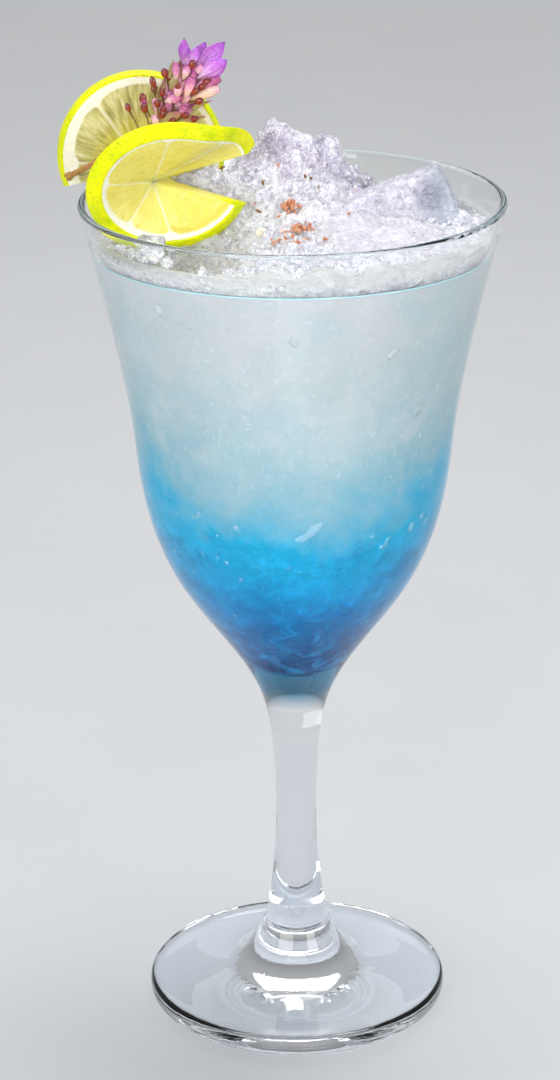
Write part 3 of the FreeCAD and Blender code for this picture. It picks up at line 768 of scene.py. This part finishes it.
def make_loose_ice():
    """Loose ice on the packed ice: smooth clear lumps half sunk in it, small bits, and fine crumbs."""
    rng = default_rng(23)
    wet = ice("wet_ice", 0.3, 0.06, (226, 226, 234), 0.12)
    sorts = [
        ("ice_lumps", 90, (1.6, 3), (12, 18), 37, -0.5, (0.8, 1.1)),
        ("ice_bits", 380, (0.6, 1.4), (6, 9), 40, -0.2, (0.5, 1.3)),
        ("ice_crumbs", 1500, (0.18, 0.46), (5, 7), 41, 0.2, (0.5, 1.3)),
    ]
    for name, count, sizes, grid, reach, lift, stretch in sorts:
        x, y = scattered(rng, count, reach)
        size = rng.uniform(*sizes, count)
        places = on_ice(x, y, lift * size)
        keep = clear_of(places, size, ["lime_front", "lime_back", "ice_block"], 0.2)
        keep &= np.hypot(x, y) + size < wall_radius(places[:, 2]) - 0.1
        keep &= places[:, 2] > DRINK_LEVEL
        keep &= (swell(x, y, APRON, 15) < 0.4) | (size < 0.3)
        keep &= (swell(x, y, (-19, -25), 12) < 0.4) | (size < 0.7)
        rows = lumps(rng, places[keep], size[keep], grid, stretch=stretch)
        piece(name, rows, wet, facets=name != "ice_lumps")


def make_mound_ice():
    """Glassy lumps on the mound, a knob on its top, and a tall tooth with small lumps at its right."""
    rng = default_rng(41)
    count = 64
    turn = np.arange(count) * 2.4
    out = 9.5 * np.sqrt((np.arange(count) + 0.5) / count)
    x, y = MOUND[0] + out * np.cos(turn), MOUND[1] + 0.9 * out * np.sin(turn)
    size = rng.uniform(1.3, 2.8, count)
    sunk = np.where(x < -5, 1.15, np.where(x < 0.5, 1.25, 0.8))
    places = on_ice(x, y, -sunk * size)
    keep = clear_of(places, size, ["lime_front", "lime_back"], 0.1)
    rows = lumps(rng, places[keep], size[keep], (16, 24), crispness=14)
    rows = rows + 0.12 * waves(rows, 2.2, rng)
    piece("mound_ice", rows, ice("clear_ice", 0.22, 0.03, (226, 215, 229), 0.4))

    # Each knob's place and size.
    knobs = np.array([
        (-3.4, 0.4, 197.5, 2.3), (12.2, 3, 190, 2.3), (15, 2.6, 188, 2), (13.2, 1, 187, 1.6),
        (-9.6, -1.4, 190.4, 2.4),
    ])
    grid = (30, 44)
    rows = lumps(rng, knobs[:, :3], knobs[:, 3], grid, 12, 7, (0.85, 1.05))
    planes = [
        (-0.86, 0, -0.51, 2.3), (-0.906, 0, 0.424, 3.9), (0.327, 0, 0.945, 3.3), (0.887, 0, 0.462, 2),
        (0, 0, -1, 5), (0.25, -0.95, 0.2, 2.4), (-0.5, -0.8, 0.3, 2.8), (0, 1, 0.1, 2.6),
    ]
    tooth = cut_body((7.9, 3.2, 194.8), planes, 12, grid)
    rows = np.concatenate([rows, tooth[None]])
    rows = rows + 0.1 * waves(rows, 2, rng)
    piece("ice_knobs", rows, ice("glassy_ice", 0.04, 0.02, (182, 177, 196), 0.12))


def make_wall_ice():
    """Ice seen through the wall above the drink, and crystals by the front lime."""
    rng = default_rng(57)
    count = 22
    angle = rng.uniform(-180, 180, count)
    height = rng.uniform(DRINK_LEVEL + 2.2, DRINK_LEVEL + 4.2, count)
    size = rng.uniform(0.8, 1.7, count)
    # Each crystal's place and size.
    beside = np.array([
        (-29.6, -26.6, 182, 1.9), (-27, -28.6, 182.6, 1.5), (-31.4, -24.4, 181.2, 1.5),
        (-28, -26.6, 184.2, 1.5), (-24.8, -29.8, 180.4, 1.4), (-30, -25.2, 183.8, 1.2),
    ])
    places = np.concatenate([at_wall(angle, height, size * 0.9), beside[:, :3]])
    rows = lumps(rng, places, np.append(size, beside[:, 3]), (11, 16), crispness=7)
    piece("wall_ice", held_in(rows, 0.3), ice("wall_ice", 0.3, 0.08, (208, 211, 212), 0.1))


def make_block():
    """The large lump that leans on the wall, melted unevenly, with a glassy dent, and a white lump."""
    rng = default_rng(3)
    centre = np.array([22, -1, 184])
    planes = [
        (-0.403, 0, 0.915, 6.4), (-0.271, 0, 0.962, 6.3), (0.899, 0, 0.438, 11.5), (0, 0, -1, 9),
        (-0.93, 0, 0.37, 12.4), (0.08, -0.93, 0.36, 5), (-0.1, 1, 0.1, 4.4),
    ]
    rows = cut_body(centre, planes, 13, (130, 200))
    melt = 0.32 * waves(rows, 9, rng) + 0.2 * waves(rows, 3.5, rng) + 0.1 * waves(rows, 1.5, rng)
    rows = rows + unit(rows - centre) * melt
    dent = bell(rows, (28.6, -5, 186.4), (2.6, 3.4, 2.4))[..., None]
    rows = rows + dent * [-0.5, 2.6, -0.6] + dent * waves(rows, 1.8, rng) * [0, 0.5, 0.3]
    glassy = bell(rows, (28.6, -5, 187), (2.4, 6, 3))
    piece("ice_block_frosted", rows, frosted_block(), ["ice_block"], {"glassy": glassy})

    rng = default_rng(8)
    chunk = lumps(rng, [(4.4, -11.4, 186)], 3.4, (24, 36), 8, 14)
    chunk = chunk + 0.18 * waves(chunk, 1.4, rng)
    piece("white_chunk", chunk, ice("white_ice", 0.62, 0.2, (236, 236, 242), 0.2))


def make_flecks():
    """Spice on the ice: rust-red crumbs in two clusters and singly, dark husks and one pale petal."""
    rng = default_rng(77)
    red = plant("rust_fleck", {0: (194, 120, 84), 1: (206, 152, 120)}, 0.3, (166, 92, 60))
    brown = plant("husk", {0: (112, 84, 36), 1: (140, 96, 48)}, 0.5, (70, 46, 26))
    pale = plant("pale_petal", {0: (236, 232, 206), 1: (224, 216, 190)}, 0.5, (206, 196, 160))
    first = rng.normal([-0.5, -10.9], [1.2, 1.1], (34, 2))
    second = rng.normal([0.9, -20], [1.8, 3], (44, 2))
    single = [(-7.8, -7.9), (12.9, 0.5), (11.6, -12.6), (6.5, -22.8), (-3, -2), (-4.4, -20)]
    x, y = np.concatenate([first, second, single]).T
    size = np.concatenate([rng.uniform(0.2, 0.52, 78), rng.uniform(0.3, 0.5, 6)])
    rows = lumps(rng, on_ice(x, y, 0.1), size, (7, 10), 8, 12, (0.6, 1.3))
    piece("rust_flecks", rows, red, marks={"along": rng.uniform(0, 1, (84, 1, 1))})
    husks = np.array([(-13.9, -1), (-6.1, -5.7), (-6.3, -10.4), (2.8, -3.8), (3.9, -3.8), (5.3, -4.9)])
    foot = on_ice(*husks.T, 0.4)
    tip = foot + unit(rng.normal(size=(6, 3))) * rng.uniform(1.4, 2.2, (6, 1))
    rows = spindles(foot, tip, 0.32, 0.22, pod(1, 0.6), (9, 8))
    piece("husks", rows, brown, marks={"along": along(rows)})
    foot = on_ice(np.array([-7.6]), np.array([-17.9]), 0.5)
    rows = spindles(foot, foot + [2.2, 0.6, 0.5], 0.9, 0.25, pod(1, 0.5))
    piece("pale_petal", rows, pale, marks={"along": along(rows)})


# ---- lime slices

def slice_frame(turn, lean):
    """Unit vectors of a slice: forward along its axis, to the right and up."""
    turn, lean = math.radians(turn), math.radians(lean)
    forward = np.array([math.sin(turn) * math.cos(lean), -math.cos(turn) * math.cos(lean), math.sin(lean)])
    right = unit(np.cross([0, 0, 1], forward))
    return forward, right, np.cross(forward, right)


def make_slice(name, finish, core, radius, thickness, bevel, cup, flaps, flap_reach, cuts, offset,
               offset_angle, turn, lean, core_radius, pith, membranes, depths):
    """A slit, cupped slice between two cuts. Sections lean forward by the cup's angle, more at the flaps.

    Each runs from the core along the front face, round the peel, and back. The rind stands on a circle
    round a point beside the core. depths are the segments' shares of deeper flesh.
    """
    rng = default_rng(len(name))
    count, face, peel = 460, 40, 12
    degrees = np.linspace(*cuts, count)[:, None]
    angle = np.radians(degrees)
    opened = (
        (flap - cup) * np.exp(-((degrees - cut) / flap_reach) ** 2) for flap, cut in zip(flaps, cuts)
    )
    tilt = np.radians(cup + sum(opened))
    sine, cosine = np.sin(tilt), np.cos(tilt)
    half = thickness / 2
    toward = offset * np.cos(angle - math.radians(offset_angle))
    front, back = (
        toward + np.sqrt(rind ** 2 - offset ** 2 + toward ** 2) for rind in (radius - bevel, radius)
    )
    share = np.linspace(0, 1, face)[None]
    round_peel = np.linspace(0, math.pi, peel + 2)[None, 1:-1]
    inner_front, inner_back = (core_radius + half * cosine) / sine, (core_radius - half * cosine) / sine
    front_reach = inner_front + (front - inner_front) * share
    back_reach = inner_back + (back - inner_back) * share[:, ::-1]
    peel_reach = (front + back) / 2 + (front - back) / 2 * np.cos(round_peel)
    peel_reach = peel_reach + 0.12 * thickness * np.sin(round_peel) ** 0.7
    reach = np.concatenate([front_reach, peel_reach, back_reach], axis=1)
    side = np.concatenate([0 * share + 1, np.cos(round_peel), 0 * share - 1], axis=1) + 0 * angle

    to_membrane = np.radians(np.abs(degrees - membranes).min(axis=1, keepdims=True)) * reach
    rim = np.concatenate([front - front_reach, 0 * peel_reach, back - back_reach], axis=1)
    in_pith = pith * (1 + 0.35 * np.cos(np.radians(degrees - 225)))
    in_pith = in_pith + 0.9 * np.exp(-(to_membrane / 1.3) ** 2) - rim
    on_face = np.abs(side) > 0.999
    plump = np.clip(to_membrane / 2, 0, 1) ** 0.5 * np.clip(-in_pith / 1.5, 0, 1)
    plump = plump * np.clip(np.minimum(degrees - cuts[0], cuts[1] - degrees) / 6, 0, 1)
    off = half * side + np.where(on_face, 0.28 * plump - 0.12, 0) * np.sign(side)

    out, ahead = (reach * sine - off * cosine)[..., None], (reach * cosine + off * sine)[..., None]
    forward, right, up = slice_frame(turn, lean)
    outward = right * np.cos(angle)[..., None] + up * np.sin(angle)[..., None]
    rows = np.array(core) + outward * out + forward * ahead
    rows = rows + np.where(on_face, 0.07, 0.05)[..., None] * waves(rows, 1.9, rng) * forward
    marks = {
        "from_core": reach, "angle": angle, "side": 3 * np.sign(side), "to_membrane": to_membrane,
        "in_pith": in_pith, "rind": np.clip(1 - rim / 0.45, 0, 1),
        "segment": np.array(depths)[np.searchsorted(membranes, degrees)],
    }
    piece(name + "_cut", rows, finish, [name], marks)


def make_limes():
    """The two slices. Angles are in degrees round the core, and flaps are the cup's angle at the two cuts."""
    front = lime("front_lime", (249, 241, 138), (234, 219, 82), (254, 250, 140), 8, 1, 0.22,
                 ((232, 218, 88), (254, 250, 176)))
    # Painted shade: the back slice is a greyer, darker copy of the front's flesh, its sac pattern with dark
    # olive shade and near-white highlight.
    back = lime("shaded_back_lime", (214, 206, 132), (170, 166, 104), (226, 216, 50), 13, 7.5, 0.85,
                ((120, 122, 76), (254, 250, 214)))
    make_slice("lime_front", front, core=(-29, -8, 192.6), radius=19.5, thickness=3, bevel=1.6, cup=53.3,
               flaps=(74, 67), flap_reach=25.6, cuts=(24.9, 350.4), offset=4.9, offset_angle=67.3, turn=10.9,
               lean=-15.9, core_radius=0.1, pith=1.2, membranes=[46, 86, 155, 226, 289],
               depths=[0.8, 1, 0.3, 0, 0.4, 1.9])
    make_slice("lime_back", back, core=(-31.1, 3.5, 191.7), radius=17.3, thickness=3.2, bevel=0.4, cup=80,
               flaps=(86, 84), flap_reach=35, cuts=(-115, 190), offset=3.3, offset_angle=100, turn=6,
               lean=9, core_radius=0.7, pith=2.2, membranes=[-76, -26, 24, 74, 124, 172],
               depths=[0.4, 0.9, 0.2, 0.7, 0.9, 0.3, 0.6])


# ---- sprig

def in_head(up, across, depth):
    """A point of the flower head: up its axis, across it to the upper left, and towards the back."""
    slope = math.radians(HEAD_SLOPE)
    x = HEAD_BASE[0] + up * math.cos(slope) - across * math.sin(slope)
    z = HEAD_BASE[1] + up * math.sin(slope) + across * math.cos(slope)
    return np.stack([x, SPRIG_DEPTH + depth, z], axis=-1)


def along(rows):
    """The mark along: the share of the way from the foot of each body to its tip."""
    return np.linspace(0, 1, rows.shape[-3])[:, None]


def grown(table, depth, outline, grid, **shape):
    """Bodies of the head from a table of feet, tips and widths. Depth is a share of the width."""
    feet, tips = in_head(*table[:, :3].T), in_head(*table[:, 3:6].T)
    return spindles(feet, tips, table[:, 6], depth, outline, grid, **shape)


def make_stem():
    """The sprig's stem: a knobbly round rod with one bend, carried along a smooth line."""
    rng = default_rng(19)
    finish = plant("woody_stem", {0: (170, 130, 60), 0.5: (208, 146, 100), 1: (150, 96, 64)}, 0.5,
                   (150, 74, 32), 0.3)
    poles = [(-46.9, 191.9), (-42, 194.4), (-37.5, 196.8), (-32, 199.9), (-26.4, 203.4)]
    x, z = smooth_line(poles, 150).T
    middle = np.stack([x, 0 * x + SPRIG_DEPTH, z], axis=-1)
    side = np.array([0, 1, 0])
    up = unit(np.cross(side, np.gradient(middle, axis=0)))[:, None]
    turn = circle(18)[:, None]
    share = np.linspace(0, 1, 150)[:, None, None]
    radius = 0.52 + 0.14 * np.sin(share * 62) ** 2 + 0.3 * np.exp(-((share - 0.02) / 0.03) ** 2)
    rows = middle[:, None] + radius * (np.cos(turn) * side + np.sin(turn) * up)
    rows = rows + 0.15 * waves(rows, 1, rng)
    piece("woody_stem", rows, finish, ["sprig_stem"], {"along": along(rows)})


def pod(lean, bluntness):
    """The outline of a pod, a leaf or a bud: sin(pi * share ** lean) ** bluntness."""
    return lambda share: np.sin(math.pi * share ** lean) ** bluntness


def calyx_outline(share):
    """A tube that widens to two thirds of its length and closes a little at its mouth."""
    open_up = 0.3 + 0.7 * np.sin(np.minimum(share / 0.7, 1) * math.pi / 2)
    return open_up * (1 - 0.35 * np.maximum(share - 0.7, 0) / 0.3)


def make_calyces():
    """A spike of ribbed calyces round the head's axis, larger ones where they show, and olive capsules."""
    rng = default_rng(64)
    pink = plant("calyx", {
        0: (176, 164, 108), 0.2: (238, 208, 184), 0.45: (250, 206, 210), 0.7: (234, 158, 204),
        1: (188, 90, 154),
    }, 0.36, (208, 130, 152), 0.3)
    count = 72
    index = np.arange(count)
    share = 0.02 + 0.68 * (index / count) ** 0.9
    turn = index * 2.3999
    lean = 0.9 - 0.35 * share
    reach = rng.uniform(3.8, 6, count) * (1 - 0.2 * share)
    foot = in_head(HEAD_LENGTH * share, 0.6 * np.cos(turn), 0.6 * np.sin(turn))
    tip = in_head(HEAD_LENGTH * share + reach * 0.8 * (1.15 - lean * 0.5),
                  (0.6 + reach * 0.7 * lean) * np.cos(turn), (0.6 + reach * 0.62 * lean) * np.sin(turn))
    shown = np.array([
        (10.4, -0.9, -2.6, 15.3, -4.6, -2.6, 0.95), (8.2, -1.7, -3, 13.6, -5.4, -3, 1),
        (11.6, -1.2, -1.4, 14.8, -3.4, -1.4, 0.7), (8.2, -0.6, -3.6, 12.4, 0.4, -3.4, 1.1),
        (5, 2.3, -3.2, 7.9, 0.3, -4.2, 0.9), (9.8, 2.8, -2, 12.9, 4.8, -2.4, 0.75),
        (10.6, 1.5, -2.2, 13.8, 2.4, -2.2, 0.8), (7.2, 0.9, -3.8, 9.8, 2, -4.4, 0.85),
        (0.7, 4.8, -2.4, 3, 6.2, -2.6, 0.7), (-0.3, 0.2, -4, 1.6, 2.9, -4.4, 0.7),
        (3, -3.2, -3.6, 5, -4.9, -3.8, 0.7), (3.8, -2.2, -4, 6.8, -1.4, -4.6, 0.85),
    ])
    foot = np.concatenate([foot, in_head(*shown[:, :3].T)])
    tip = np.concatenate([tip, in_head(*shown[:, 3:6].T)])
    widths = np.concatenate([rng.uniform(0.6, 0.95, count), shown[:, 6]])
    total = len(foot)
    rows = spindles(foot, tip, widths, 0.92 * widths, calyx_outline, (22, 24),
                    bends=rng.uniform(-0.5, 0.5, total), ribs=8, rib_depth=0.13)
    shade = along(rows) * rng.uniform(0.5, 1, (total, 1, 1)) + rng.uniform(-0.1, 0.35, (total, 1, 1))
    piece("calyces", rows, pink, ["flower_head"], {"along": shade})

    olive = plant("capsule", {0: (150, 140, 76), 0.5: (176, 152, 108), 1: (178, 84, 96)}, 0.5,
                  (104, 88, 50), 0.25)
    table = np.array([
        (1, 1.3, -4.6, 5.4, -1.8, -5.2, 1), (2.6, -1.5, -4.6, 6.5, -5.3, -4.6, 0.9),
        (-1, 2.2, -3.6, 2.6, 0.6, -4.8, 0.8), (5.6, -4.4, -4.2, 7.2, -6.2, -4.2, 0.3),
    ])
    rows = grown(table, 0.85 * table[:, 6], pod(0.85, 0.6), (30, 24), bends=0.3, ribs=6, rib_depth=0.12)
    piece("capsules", rows, olive, marks={"along": along(rows)})


def make_buds():
    """Glossy red buds on thin stalks that leave the axis further down."""
    rng = default_rng(12)
    red = plant("bud", {0: (132, 84, 46), 0.35: (156, 44, 26), 1: (108, 22, 28)}, 0.12,
                (76, 14, 18), 0.1, 0.7)
    brown = plant("stalk", {0: (150, 140, 74), 1: (128, 92, 52)}, 0.5, (92, 70, 36))
    places = np.array([
        (9.7, 5.5, -1.6), (6.8, 6.5, -1.8), (6.3, 3.9, -3.2), (4, 3.5, -3.8), (3.8, 1.9, -4.8),
        (14.5, 1.9, -2.6), (9.3, 1.9, -4.6), (-0.5, 7.9, -1.6), (2.9, 6.4, -2.4),
        (10.3, -1.5, -3.8), (9.2, -3.4, -3.8),
        (2.9, -0.8, -5.4), (5.4, -2.5, -5.4), (5.7, -4.5, -4.8), (13.2, -2.5, -3.2), (11.9, -2.2, -3.4),
        (2.8, 1.5, -5), (1.6, 5.2, -3), (8.4, 4.2, 3), (4.8, 5.2, 3.4), (6, -3.4, 4.6), (2.4, 0.5, 5.2),
        (9, 0.4, 4.6), (1.4, -4.4, 3.4), (11, -2.8, 3), (5, 2, 5.4), (12.4, 2.6, 2.2),
    ])
    count = len(places)
    up, across, depth = places.T
    middle = in_head(up, across, depth)
    way = unit(in_head(up + 1.4, across * 1.2, depth * 1.2) - middle)
    half = 0.5 * rng.uniform(2, 2.8, (count, 1)) * way
    width = rng.uniform(0.6, 0.82, count)
    rows = spindles(middle - half, middle + half, width, 0.68, pod(0.85, 0.6), (16, 16), ribs=5,
                    rib_depth=0.04)
    piece("buds", rows, red, marks={"along": along(rows)})
    root = in_head(up - 2.8, 0.45 * across, 0.5 * depth)
    tip = middle - half + 0.3 * way
    rows = spindles(root, tip, 0.26, 0.26, lambda share: 0.8 + 0.5 * share ** 6, (24, 8), bends=0.6)
    piece("bud_stalks", rows, brown, marks={"along": along(rows)})


def make_bracts():
    """Narrow dry leaves, with a long point each."""
    dry = plant("bract", {0: (160, 152, 80), 0.6: (178, 150, 112), 1: (150, 92, 104)}, 0.5,
                (110, 92, 56), 0.2)
    table = np.array([
        (9.2, 4, -1.8, 13.2, 5.6, -2, 0.6), (7.4, 2.6, -2.4, 13.3, 3.4, -2.6, 0.9),
        (2, 2, 3.6, 7.8, 4.6, 4.6, 0.9), (5, -1, 3.4, 10.8, -3.4, 4.2, 0.9),
        (8, 1, 2, 14, 2.6, 2.6, 0.8), (4.4, 3, -2, 9, 4.6, -2.4, 0.5),
        (6.8, -3, -3.4, 10.8, -5.6, -3.4, 0.5), (10.8, 3.6, -1.2, 14.4, 4.4, -1.4, 0.5),
    ])
    rows = grown(table, 0.28, pod(0.62, 1.1), (24, 14), bends=0.5)
    piece("bracts", rows, dry, marks={"along": along(rows)})


def make_petals():
    """Petals at the head's top, each folded along its middle by the square of the distance from it."""
    purple = plant("petal", {
        0: (240, 214, 224), 0.35: (230, 176, 234), 0.7: (198, 112, 222), 1: (160, 68, 204),
    }, 0.36, (236, 182, 242), 0.1, veins=(160, 66, 188))
    # Each petal's foot, tip, width, bend and fold.
    table = np.array([
        (12.8, 3.2, -1.6, 18, 6.1, -1.8, 1.4, 0.5, 0.9), (12.8, 2.6, -2, 17, 4.2, -2.2, 1.3, 0.4, 0.8),
        (13.4, 2, -2.2, 18.2, 2.9, -2, 1.3, -0.4, 0.7), (12.6, 0.6, -2, 21.9, -1.3, -1.6, 2.3, 0.8, 1.1),
        (12.4, -0.4, -3, 19.2, -3.6, -2.6, 2.5, -0.6, -1), (11.6, -0.8, -1.8, 16.6, -4, -1.4, 1.7, 0.6, 0.8),
        (12.6, 1.4, 1.2, 19, 1.6, 2.2, 1.9, -0.6, 0.8), (11.8, -1, 1.4, 17.8, -3, 2.8, 2.1, -0.8, 0.8),
        (3.4, -3.6, -3.8, 4.8, -5.2, -3.6, 0.9, 0.2, 0.3),
    ])
    pointed = pod(1.12, 1.05)
    rows = grown(table, 0.2, lambda share: pointed(share) * (0.55 + 0.45 * share), (46, 30),
                 bends=table[:, 7])
    across, share = np.cos(circle(30)), along(rows)
    fold = table[:, 8, None, None] * across ** 2 * np.sin(math.pi * share)
    rows[..., 1] += 0.3 * np.sin(14 * share + 2 * across) * np.abs(across) * share - fold
    piece("petals", rows, purple, marks={"along": share, "across": across})


# ---- studio

def make_camera():
    """Looks down at the drink over its rim, from 0.63 m in front of it."""
    place = (0, -0.631975, 0.350131)
    pan, pitch, roll = 0.005, 0.3638, -0.0076
    view = bpy.data.cameras.new("view")
    view.sensor_fit = "AUTO"
    view.sensor_width = 36
    view.lens = 103.384
    camera = put("camera", view)
    turned = Matrix.Rotation(pan, 4, "Z") @ Matrix.Rotation(math.pi / 2 - pitch, 4, "X")
    camera.matrix_world = Matrix.Translation(place) @ turned @ Matrix.Rotation(roll, 4, "Z")
    bpy.context.scene.camera = camera


def make_lamp(name, place, target, size, watts, spread=180):
    """A soft panel that faces its target, with its place and size in metres and its spread in degrees."""
    panel = bpy.data.lights.new(name, "AREA")
    panel.shape = "RECTANGLE"
    panel.size, panel.size_y = size
    panel.energy = watts
    panel.spread = math.radians(spread)
    lamp = put(name, panel)
    lamp.location = place
    lamp.rotation_euler = (Vector(target) - Vector(place)).to_track_quat("-Z", "Y").to_euler()


def make_studio():
    """A wide, matt, pale table, a soft sky that darkens to its horizon, and five soft lamps."""
    side, under = 6, -0.05 * MM
    look = Finish("pale_table")
    mottle = look.coats((191, 193, 196), (look.noise(60, 4), (197, 199, 201)))
    mesh = bpy.data.meshes.new("table_top")
    corners_round = [(-side, -side, under), (side, -side, under), (side, side, under), (-side, side, under)]
    mesh.from_pydata(corners_round, [], [(0, 1, 2, 3)])
    mesh.materials.append(look.skin(mottle, 0.6, Specular_IOR_Level=0.2))
    table = put("table_top", mesh)

    look = Finish("studio", "worlds")
    height = look.node("SeparateXYZ", {0: look.node("TexCoord", output="Generated")}, "Z")
    colour = look.shades(height, {0: (0.32, 0.32, 0.33, 1), 0.7: (0.8, 0.8, 0.8, 1)})
    sky = look.node("Background", {"Color": colour, "Strength": 0.7})
    bpy.context.scene.world = look.done("OutputWorld", sky)

    middle, wash = (0, 0, 0.13), (1.8, 1)
    make_lamp("front_left", (-0.62, -1, 0.42), middle, (0.9, 0.5), 3.85, 120)
    make_lamp("front_right", (0.75, -0.75, 0.34), middle, (0.5, 0.36), 1.8, 120)
    make_lamp("overhead", (0.1, 0.2, 0.95), middle, (0.5, 0.5), 5)
    make_lamp("back_wash", (0, 1.5, 1.3), (0, 1.6, 0), wash, 7)
    make_lamp("front_wash", (0, -2, 1.5), (0, -2.1, 0), wash, 10)


def dress_goblet():
    """Gives the goblet's CAD node its glass."""
    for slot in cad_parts["goblet"].material_slots:
        slot.material = clear_glass()


for make in (
    make_camera, make_studio, dress_goblet, make_white_layer, make_blue_layer, make_waterline, make_sunk_ice,
    make_bubbles, make_packed_ice, make_loose_ice, make_mound_ice, make_wall_ice, make_block, make_flecks,
    make_limes, make_stem, make_calyces, make_buds, make_bracts, make_petals,
):
    make()

studio = bpy.context.scene
studio.view_settings.view_transform = "Standard"
studio.cycles.transparent_max_bounces = 32
